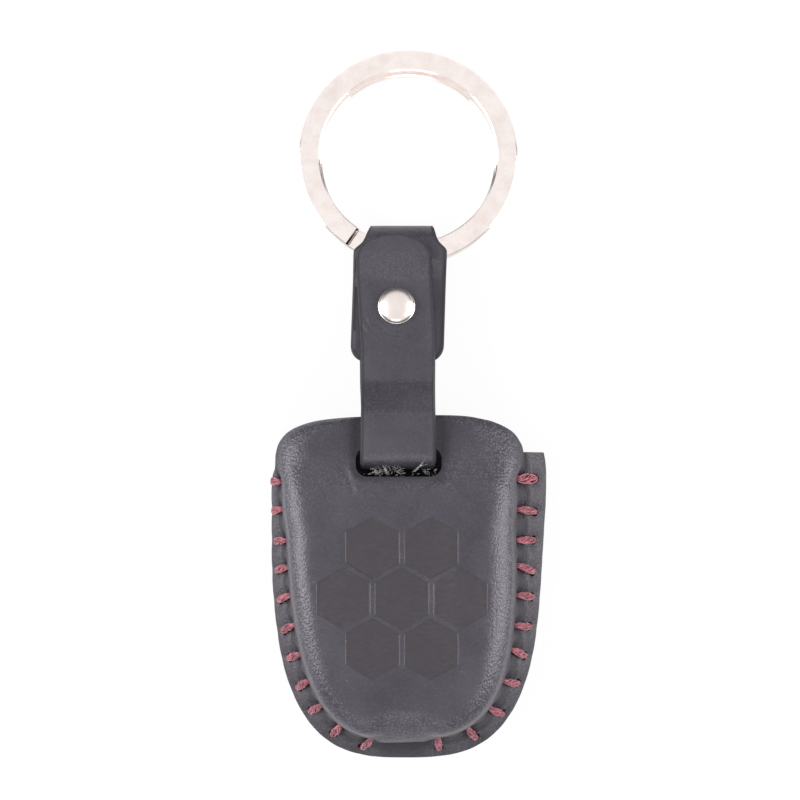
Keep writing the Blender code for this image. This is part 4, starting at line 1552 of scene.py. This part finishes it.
def strip_rows(line: Array, half_widths: Array, thick: float, across: int,
               edge: float) -> tuple[Array, Array, Array]:
    """Section points of a leather strip along a path in YZ, with rounded edges.

    Args:
        line: Middle of the strip, one (y, z) row each.
        half_widths: Half width at each row.
        thick: Thickness of the leather.
        across: Points over each face.
        edge: Radius of the rounded edges.

    Returns:
        Rows by section points by three; how far across each section point is, from -1 to 1; and
        its share of the thickness, from -1 to 1.
    """
    tangent = unit(np.gradient(line, axis=0))
    normal = np.stack([-tangent[:, 1], tangent[:, 0]], axis=1)
    turns = np.linspace(0.0, math.pi / 2, 5)
    side = [(1.0, -edge + edge * math.sin(t), thick / 2 - edge + edge * math.cos(t)) for t in turns]
    face = [(s, 0.0, thick / 2) for s in np.linspace(-1.0, 1.0, across)]
    top = face + side
    low = [(-s, -inset, -z) for s, inset, z in top]
    share = np.array([entry[0] for entry in top + low])
    inset = np.array([entry[1] if entry[2] > 0 else -abs(entry[1]) for entry in top + low])
    height = np.array([entry[2] for entry in top + low])
    on_face = np.isclose(np.abs(height), thick / 2) & (inset == 0.0)
    room = np.maximum(half_widths - edge, 0.02)
    x = np.where(on_face[None, :], share[None, :] * room[:, None],
                 np.sign(share)[None, :] * (room[:, None] + np.minimum(edge, half_widths)[:, None]
                                            * (1.0 + inset[None, :] / edge)))
    yz = line[:, None, :] + normal[:, None, :] * height[None, :, None]
    rows = np.concatenate([x[..., None], yz], axis=-1)
    return rows, share, height / (thick / 2)


def round_end_rows(line: Array, start: float, end: float) -> Array:
    """Same path with more points near its ends, for ends that are cut round.

    Args:
        line: Path with even steps.
        start: Radius at its start, or 0 for a square end.
        end: Radius at its end, or 0.

    Returns:
        Points of the path.
    """
    run = lengths_of(line)
    wanted = [run[(run > start) & (run < run[-1] - end)]]
    turns = np.linspace(0.02, math.pi / 2, 22)
    if start:
        wanted.append(start * (1 - np.cos(turns)))
    if end:
        wanted.append(run[-1] - end * (1 - np.cos(turns)))
    wanted = np.unique(np.concatenate(wanted).round(4))
    return np.stack([np.interp(wanted, run, line[:, i]) for i in range(line.shape[1])], axis=1)


def round_end_half(run: Array, half: float, start: float, end: float, corner: float) -> Array:
    """Half width of a strip whose ends are round.

    Args:
        run: Length along the strip at each row.
        half: Half width of its straight part.
        start: How far the first end's round reaches, or 0.
        end: The same for the last end.
        corner: How far the round reaches across, up to the half width.

    Returns:
        Half width at each row.
    """
    width = np.full(len(run), half)
    for reach, distance in ((start, run), (end, run[-1] - run)):
        if reach:
            near = np.clip(1.0 - distance / reach, 0.0, 1.0)
            width = np.minimum(width, half - corner + corner * np.sqrt(1 - near ** 2))
    return width


def edge_shade(share: Array) -> Array:
    """How far the dye of a cut edge covers each section point of a strip."""
    return 0.85 * smooth((np.abs(share) - 0.95) / 0.05)


@dataclass
class Strap:
    """One strip of leather: through the case, round the tab and riveted."""

    form: StackForm
    case: CaseForm
    step: float = 0.22
    across: int = 39
    edge: float = 0.36
    end_reach: float = 3.2
    end_lean: float = 0.6
    turn_down: Pair = (2.2, 0.7)
    bend_radii: tuple[float, ...] = (3.0, 3.4, 3.0, 3.0, 2.6, 3.0, 1.1, 2.0, 2.4, 2.4)
    bend_span: Pair = (30.8, 37.2)
    # Height, length and seed of its slow waves.
    waves: tuple = ((0.10, 11.0, 21), (0.03, 3.5, 22))
    rolled_edge: float = 0.10
    # Depth, distance and reach of the dent round the rivet, and the same with the spacing of the
    # wrinkles below it.
    dent: Triple = (0.28, 1.6, 2.1)
    wrinkles: tuple[float, float, float, float] = (0.12, 5.0, 2.6, 0.95)
    # Strength of the painted shadow where the strap dips into the slot.
    painted_hollow_shade: float = 0.62

    def corners(self) -> list[Pair]:
        """Corners of the strip's middle in YZ, from its front end to its back end.

        Returns:
            Places (y, z).
        """
        form, case = self.form, self.case
        top, level, pinch = form.strap_top, form.strap_level, form.neck_pinch
        reach = form.strap_thick / 2 + form.clearance
        slot_top = case.slot_y[1]
        crest = case.front_top(slot_top) + case.front_crown + reach
        low = form.floor_gap + form.strap_thick / 2
        return [form.world_yz(form.fold_y + form.past_fold, top),
                form.world_yz(form.fold_y - 0.4, top),
                form.world_yz(form.rivet_y + form.cap_radius + form.clearance, level),
                form.world_yz(form.rivet_y - form.tab_reach, level),
                form.world_yz(-pinch / 3, pinch), (case.top_y + reach / 2, crest),
                (slot_top - reach - self.turn_down[0], crest),
                (slot_top - reach - self.turn_down[1], low), (case.top_y - 1.0, low),
                form.world_yz(-pinch / 3, -pinch),
                form.world_yz(form.rivet_y - form.tab_reach, -level),
                form.world_yz(form.rivet_y + form.back_reach, -level)]

    def build(self, finish: Finish) -> Piece:
        """Make the strip along its bent path and dent it below the rivet.

        Args:
            finish: Material of the piece.

        Returns:
            The strap as one piece.
        """
        form = self.form
        line = rounded_path(self.corners(), self.bend_radii, self.step)
        line = round_end_rows(line, self.end_reach, self.end_reach)
        run = lengths_of(line)
        half = round_end_half(run, form.strap_half, self.end_reach, self.end_reach, form.strap_half)
        half = half - 0.10 * bell(run - 31.0, 8.0) + 0.05 * np.sin(run / 5.1)
        rows, share, _ = strip_rows(line, half, form.strap_thick, self.across, self.edge)
        lean = self.end_lean * smooth((line[:, 0] - form.neck[0] - 3.0) / 17.0)
        rows[..., 0] += form.strap_x + (0.12 * np.sin(run / 19.0) - lean)[:, None]
        rows = rows + self.relief(rows, share)
        points, faces = swept(rows[:, ::-1])
        item = mesh_object("leather_strap", points, faces, finish, 60.0)
        # Painted shadow on the strap where it dips into the slot, with the dye of its cut edges.
        deep = self.corners()[5][1] + form.strap_thick / 2 - 0.5 - rows[..., 2]
        dark = self.painted_hollow_shade * smooth(deep / 2.0) * (rows[..., 1] < 24.0) * (rows[..., 2] > 5.0)
        add_values(item, "shade", np.maximum(dark, edge_shade(share))[:, ::-1].ravel())
        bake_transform(item)
        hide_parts("strap_loop", "strap_front_leg", "strap_back_leg")
        return item

    def relief(self, rows: Array, share: Array) -> Array:
        """Small moves of the leather: rolled edges, waves, and the dent at the rivet.

        Args:
            rows: Section points of the strip.
            share: How far across each section point is, from -1 to 1.

        Returns:
            A move for each section point.
        """
        form = self.form
        rivet = form.world(np.array([*form.cap_place, form.strap_level + 0.6]))
        away = np.linalg.norm(rows - rivet, axis=-1)
        waves = sum(height * uneven(rows, size, seed) for height, size, seed in self.waves)
        waves = waves - self.rolled_edge * smooth((np.abs(share) - 0.72) / 0.28)[None, :]
        deep, distance, reach = self.dent
        waves = waves - deep * bell(away - distance, reach)
        deep, distance, reach, spacing = self.wrinkles
        below = smooth((rivet[1] - rows[..., 1]) / 3.0) * bell(away - distance, reach)
        ripple = np.sin(math.tau * (away + 0.4 * uneven(rows, 3.0, 24)) / spacing)
        waves = waves + deep * ripple * below * (0.6 + 0.4 * uneven(rows, 2.4, 25))
        turn = math.radians(form.tilt_degrees)
        way = np.array([0.0, math.sin(turn), math.cos(turn)])
        upper = smooth((rows[..., 2] - 7.0) / 2.0)
        return (waves * upper)[..., None] * way


@dataclass
class Tab:
    """Strip of leather folded over the ring, with both ends under the rivet."""

    form: StackForm
    end_reach: float = 2.6
    edge: float = 0.30
    across: int = 25
    # Half width at places along it, from the fold: full, then its notches, then the fold.
    shoulder: tuple[Pair, ...] = ((-0.9, 7.5), (-0.4, 7.42), (0.7, 6.15),
                                                 (1.6, 5.75), (4.1, 5.05))

    def path(self) -> Array:
        """Middle of the strip in the tilted frame's YZ, front end first.

        Returns:
            Points (y, z).
        """
        form = self.form
        level = form.leaf_gap / 2 + form.tab_thick / 2
        middle = form.fold_radius + form.tab_thick / 2
        taper = form.fold_y - form.fold_taper
        slope = (math.asin(form.fold_radius / form.fold_taper)
                 - math.atan(form.leaf_gap / 2 / form.fold_taper))
        front = rounded_path(
            [(form.rivet_y - form.tab_reach, level), (taper, level),
             (form.fold_y + middle * math.cos(math.pi / 2 + slope),
              middle * math.sin(math.pi / 2 + slope))], (3.0,), 0.30)
        turns = np.linspace(math.pi / 2 + slope, 0.0, 40)[1:]
        fold = np.stack([form.fold_y + middle * np.cos(turns), middle * np.sin(turns)], axis=1)
        upper = np.concatenate([front, fold])
        return np.concatenate([upper, (upper * [1.0, -1.0])[-2::-1]])

    def build(self, finish: Finish) -> Piece:
        """Make the folded strip.

        Args:
            finish: Material of the piece.

        Returns:
            The tab as one piece.
        """
        form = self.form
        line = round_end_rows(resampled(self.path(), 0.28), self.end_reach, self.end_reach)
        run = lengths_of(line)
        ends = round_end_half(run, form.tab_half, self.end_reach, self.end_reach, self.end_reach)
        places, widths = zip(*self.shoulder)
        half = np.minimum(ends, np.interp(line[:, 0] - form.fold_y, places, widths))
        half = np.convolve(np.pad(half, 1, "edge"), [0.25, 0.5, 0.25], "valid")
        rows, share, level = strip_rows(line, half, form.tab_thick, self.across, self.edge)
        rows[..., 0] += form.strap_x + 0.032 * (rows[..., 1] - form.rivet_y + 5.5)
        away = np.hypot(rows[..., 0] - form.strap_x, rows[..., 1] - form.rivet_y)
        lift = 0.05 * uneven(rows, 9.0, 31) - 0.07 * smooth((np.abs(share) - 0.75) / 0.25)[None, :]
        lift = lift * (level > 0)[None, :] * smooth((away - 7.0) / 2.0)
        rows[..., 2] += lift * np.sign(rows[..., 2])
        points, faces = swept(form.world(rows)[:, ::-1])
        item = mesh_object("leather_tab", points, faces, finish, 60.0)
        add_values(item, "shade", np.tile(edge_shade(share)[::-1], len(rows)))
        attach(item, "tab")
        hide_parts("ring_tab")
        return item


@dataclass
class Rivet:
    """Capped rivet: a domed cap in front, a post and a flat cap behind."""

    form: StackForm
    sides: int = 96
    rim: float = 0.42
    dome: float = 1.3
    rear: float = 0.7
    post: float = 1.4
    fit: float = 0.2

    def turned(self, name: str, profile: list[Pair], finish: Finish) -> Piece:
        """Body turned round the rivet's axis from its profile (radius, height).

        Args:
            name: Name of the piece.
            profile: Its profile, from the axis to the axis.
            finish: Material of the piece.

        Returns:
            The piece.
        """
        form = self.form
        around = np.linspace(0.0, math.tau, self.sides, endpoint=False)
        x, y = form.cap_place
        rows = np.array([[(x + radius * math.cos(turn), y + radius * math.sin(turn), height)
                          for turn in around] for radius, height in profile])
        points, faces = swept(form.world(rows))
        item = mesh_object(name, points, faces, finish, 40.0)
        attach(item, "strap")
        return item

    def build(self, finish: Finish) -> list[Piece]:
        """Make the cap and the post.

        Args:
            finish: Material of both.

        Returns:
            The cap and the post.
        """
        base = self.form.strap_level + self.form.strap_thick / 2
        radius, rim = self.form.cap_radius, self.rim
        low = base - 0.12
        edge = [(radius - 0.30, low), (radius - 0.06, low + 0.05), (radius, low + 0.17),
                (radius - 0.02, low + 0.30), (radius - 0.10, low + rim)]
        top, reach = base + self.fit + self.dome, radius - 0.15
        start = low + rim + 0.02
        turns = [math.pi / 2 * step / 22 for step in range(1, 22)]
        dome = [(reach * math.cos(turn), start + (top - start) * math.sin(turn)) for turn in turns]
        profile = [(0.05, low), *edge, (reach, start), *dome, (0.05, top)]
        cap = self.turned("rivet_dome_cap", profile, finish)
        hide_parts("rivet_cap")
        rear = [(0.05, -base - self.rear), (radius - 0.5, -base - self.rear),
                (radius - 0.12, -base - self.rear + 0.14), (radius, -base - self.rear + 0.35),
                (radius - 0.10, -base + 0.05), (self.post, -base + 0.10), (self.post, base - 0.3),
                (0.05, base - 0.3)]
        post = self.turned("rivet_post_and_rear_cap", rear, finish)
        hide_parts("rivet_post")
        return [cap, post]


@dataclass
class SplitRing:
    """Flat steel wire wound in two turns."""

    form: StackForm
    outer: float = 17.75
    band: float = 3.4
    sag: float = 0.3
    thick: float = 1.0
    gap: float = 0.2
    end_degrees: float = -125.0
    jog_degrees: float = 40.0
    step_degrees: float = 1.5
    chamfer: float = 0.22

    def section(self) -> list[Pair]:
        """Wire's section as (radius, height), with its edges broken.

        Returns:
            Corners of the section, in order.
        """
        inner, half, cut = self.outer - self.band, self.thick / 2, self.chamfer
        corners = [(inner, half, 1, -1), (self.outer, half, -1, -1), (self.outer, -half, -1, 1),
                   (inner, -half, 1, 1)]
        points = []
        for index, (radius, height, x_way, z_way) in enumerate(corners):
            flat = [(radius + x_way * cut, height), (radius, height + z_way * cut * 0.88)]
            points += flat if index in (1, 3) else flat[::-1]
        return points

    def build(self, finish: Finish) -> Piece:
        """Make the ring and hang it in the tab's fold.

        Args:
            finish: Material of the piece.

        Returns:
            The ring as one piece.
        """
        total = math.radians(720.0 - self.jog_degrees)
        jog = math.radians(self.jog_degrees)
        turns = np.linspace(0.0, total, int(math.degrees(total) / self.step_degrees) + 1)
        climb = smooth((turns - (math.tau - jog)) / jog)
        heights = (self.thick + self.gap) / 2 * (2 * climb - 1)
        start = math.radians(self.end_degrees + self.jog_degrees)
        section = np.array(self.section())
        angle = (start + turns)[:, None]
        low = self.sag * (1 - climb)[:, None]
        radius = section[None, :, 0] - low
        x, y = self.form.ring_place
        rows = np.stack([x + radius * np.cos(angle), y - low + radius * np.sin(angle),
                         section[None, :, 1] + heights[:, None]], axis=-1)
        for end, way in ((0, 1), (-1, -1)):
            middle = rows[end].mean(axis=0)
            onward = unit(rows[end].mean(axis=0) - rows[end + way].mean(axis=0))
            shrunk = middle + (rows[end] - middle) * [0.93, 0.93, 0.45] + 0.35 * onward
            rows = np.concatenate([shrunk[None], rows] if way > 0 else [rows, shrunk[None]])
        points, faces = swept(self.form.world(rows))
        item = mesh_object("flat_split_ring", points, faces, finish, 30.0)
        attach(item, "ring")
        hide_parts("split_ring")
        return item


@dataclass(frozen=True)
class Tuft:
    """Region of loose fibres: its two ends, spread, count, lengths and how much they curl."""

    start: Pair
    end: Pair
    spread: float
    amount: int
    lengths: Pair
    curl: float


@dataclass
class SlotFibres:
    """Raw fibres and fluff that lie in the slot below the strap."""

    form: CaseForm
    seed: int = 12
    radius: float = 0.022
    tufts: tuple[Tuft, ...] = (Tuft((-5.6, 19.2), (-3.6, 19.6), 0.28, 30, (0.3, 1.1), 0.9),
                               Tuft((-3.8, 19.7), (-0.6, 19.5), 0.30, 34, (0.3, 1.3), 0.9),
                               Tuft((1.0, 18.95), (3.0, 20.6), 0.10, 12, (0.9, 2.6), 0.22),
                               Tuft((2.2, 19.8), (3.6, 19.6), 0.20, 6, (0.4, 1.1), 0.5),
                               Tuft((4.4, 19.4), (4.9, 19.6), 0.12, 5, (0.2, 0.5), 1.0),
                               Tuft((-6.8, 18.9), (4.8, 18.8), 0.18, 26, (0.2, 0.6), 0.8))

    def fibre(self, tuft: Tuft, top: float, rng: np.random.Generator) -> Array:
        """Middle line of one fibre.

        Args:
            tuft: Region that it grows in.
            top: Height of the front there.
            rng: Source of the random numbers.

        Returns:
            Points of the line.
        """
        first, last = np.array(tuft.start), np.array(tuft.end)
        spot = first + (last - first) * rng.uniform() + rng.normal(0.0, tuft.spread, 2)
        height = top - rng.uniform(0.25, 1.3)
        way = unit(np.append(last - first, 0.0) + rng.normal(size=3) * [tuft.curl, tuft.curl, 0.2])
        length, line = rng.uniform(*tuft.lengths), [np.append(spot, height)]
        for _ in range(8):
            way = unit(way + rng.normal(size=3) * [tuft.curl * 0.6, tuft.curl * 0.6, 0.15])
            line.append(line[-1] + way * length / 8)
        line = np.array(line)
        line[:, 1] = np.maximum(line[:, 1], self.form.slot_y[0] - 0.15)
        line[:, 2] = np.minimum(line[:, 2], top - 0.05)
        return line

    def build(self, finish: Finish) -> Piece:
        """Make every fibre as a thin bent hair.

        Args:
            finish: Material of the piece.

        Returns:
            All fibres as one piece.
        """
        rng = np.random.default_rng(self.seed)
        top = self.form.front_top(self.form.slot_y[0]) + 0.8 * self.form.front_crown
        bodies = []
        for tuft in self.tufts:
            for _ in range(tuft.amount):
                line = self.fibre(tuft, top, rng)
                taper = self.radius * np.linspace(1.0, 0.5, len(line))[:, None, None]
                bodies.append(tube(line, *carried_frames(line), taper, 4))
        item = mesh_object("raw_fibres_at_slot", *joined(bodies), finish)
        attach(item, "case")
        return item


@dataclass
class KeyCase:
    """The case: two moulded shells, their stitches and the fibres at the slot."""

    form: CaseForm = field(default_factory=CaseForm)

    def build(self) -> list[Piece]:
        """Make every piece of the case.

        Returns:
            The pieces.
        """
        body = Leather("chrome_tanned_cowhide_moulded_and_pigmented",
                       printed=Emblem().centres()).build()
        thread, fibre = WaxedThread().build(), RawFibre().build()
        runs = [StitchRun(self.form, side) for side in Side]
        pieces = [Shell(self.form, face, runs).build(body) for face in Face]
        pieces += [run.build(thread) for run in runs]
        pieces.append(SlotFibres(self.form).build(fibre))
        return pieces


@dataclass
class Hanger:
    """The strap, the tab, the rivet and the split ring."""

    form: StackForm = field(default_factory=StackForm)
    case: CaseForm = field(default_factory=CaseForm)

    def build(self) -> list[Piece]:
        """Make every piece that hangs the case from its ring.

        Returns:
            The pieces.
        """
        strap = Leather("chrome_tanned_cowhide_strap_satin", low="#302e34", pebble_mm=0.34,
                        relief_mm=0.045, shoulder_relief=0.6).build()
        ring = NickelPlate("nickel_plated_steel_tumbled", "#faf0ec", 0.14).build()
        rivet = NickelPlate("nickel_plated_brass_polished", "#efe5e1", 0.22,
                            scratch_mm=0.16).build()
        return [Strap(self.form, self.case).build(strap), Tab(self.form).build(strap),
                *Rivet(self.form).build(rivet), SplitRing(self.form).build(ring)]


@dataclass
class Studio:
    """White sweep, soft lamps on both sides and a camera straight above."""

    target: Pair = (-0.8, 30.6)
    camera_height: float = 357.0
    lens: float = 97.7
    sensor: float = 36.0
    lamps: tuple = (((-480.0, 40.0, 245.0), 440.0, 4.4), ((480.0, 20.0, 245.0), 440.0, 3.8),
                    ((-30.0, -430.0, 240.0), 320.0, 0.45))
    lamp_aim: Pair = (0.5, 8.0)
    white: str = "#ffffff"
    table: str = "#f4f4f4"
    table_half: float = 900.0
    table_z: float = -0.05
    table_glow: float = 0.90
    wall_heights: Pair = (0.12, 0.60)
    wall_low: float = 0.20
    room_light: float = 0.60

    def build(self) -> None:
        """Set the view, the room, the floor, the lamps and the camera."""
        scene = bpy.context.scene
        scene.view_settings.view_transform = "Standard"
        self.add_world(scene)
        self.add_floor()
        for index, (place, size, power) in enumerate(self.lamps):
            self.add_lamp(f"softbox_{index + 1}", place, size, power)
        self.add_camera(scene)

    def seen_share(self, add: Callable, glossy: bool) -> Socket:
        """1 for rays that show the background to the camera.

        Args:
            add: add_node for the tree.
            glossy: Count rays by a mirror and through glass too.

        Returns:
            Socket of the share.
        """
        seen = add("LightPath", out="Is Camera Ray")
        path = seen.node.outputs
        for name in ("Is Glossy Ray", "Is Transmission Ray") if glossy else ():
            seen = add("Math", (seen, path[name]), operation="MAXIMUM")
        return seen

    def add_world(self, scene: bpy.types.Scene) -> None:
        """White room whose low walls are dim in mirrors, so that metal and edges get an outline.

        Args:
            scene: Scene to light.
        """
        world = bpy.data.worlds.new("studio_room")
        scene.world = world
        world.use_nodes = True
        add = partial(add_node, world.node_tree)
        height = add("SeparateXYZ", (add("TexCoord", out="Generated"),), "Z")
        wall = add("MapRange", (height, *self.wall_heights, self.wall_low),
                   interpolation_type="SMOOTHSTEP")
        light = add("Math", (wall, self.room_light), operation="MULTIPLY")
        wall = add("Math", (wall, self.seen_share(add, False)), operation="MAXIMUM")
        strength = add("Mix", {0: self.seen_share(add, True), 2: light, 3: wall}, data_type="FLOAT")
        feed(world.node_tree.nodes["Background"],
             {"Color": linear(self.white), "Strength": strength})

    def add_floor(self) -> None:
        """White table that keeps a soft shadow."""
        material, shader, add = new_material("matt_white_table_painted")
        feed(shader, {"Base Color": linear(self.table), "Roughness": 0.9})
        glow = add("Emission", {"Color": linear(self.white), "Strength": 1.0})
        share = add("Math", (self.seen_share(add, True), self.table_glow), operation="MULTIPLY")
        mixed = add("MixShader", (share, shader.outputs[0], glow))
        feed(material.node_tree.nodes["Material Output"], {"Surface": mixed})
        half = self.table_half
        corners = [(x * half, y * half, self.table_z)
                   for x, y in ((-1, -1), (1, -1), (1, 1), (-1, 1))]
        floor = mesh_object("white_table", np.array(corners), [(0, 1, 2, 3)], material)

    def add_lamp(self, name: str, place: Triple, size: float, power: float) -> None:
        """Square soft box that points at the case.

        Args:
            name: Name of the lamp.
            place: Its middle.
            size: Length of its sides.
            power: Watts.
        """
        data = bpy.data.lights.new(name, "AREA")
        data.shape, data.size, data.energy = "SQUARE", size * MM, power
        lamp = bpy.data.objects.new(name, data)
        share, height = self.lamp_aim
        way = Vector((self.target[0], self.target[1] * share, height)) - Vector(place)
        lamp.rotation_euler = way.to_track_quat("-Z", "Y").to_euler()
        lamp.location = Vector(place) * MM
        bpy.context.scene.collection.objects.link(lamp)

    def add_camera(self, scene: bpy.types.Scene) -> None:
        """Camera straight above, with +Y up in the picture.

        Args:
            scene: Scene to look at.
        """
        data = bpy.data.cameras.new("camera_above")
        data.lens, data.sensor_width, data.clip_start = self.lens, self.sensor, 0.01
        camera = bpy.data.objects.new("camera_above", data)
        camera.location = Vector((*self.target, self.camera_height)) * MM
        scene.collection.objects.link(camera)
        scene.camera = camera


def main() -> None:
    """Build the sub-assemblies in order, then the room."""
    logging.basicConfig(level=logging.INFO, format="%(name)s: %(message)s")
    for assembly in (KeyCase(), Hanger()):
        for piece in assembly.build():
            LOG.info("%s: %d faces", piece.name, len(piece.data.polygons))
    Studio().build()


if __name__ == "__main__":
    main()
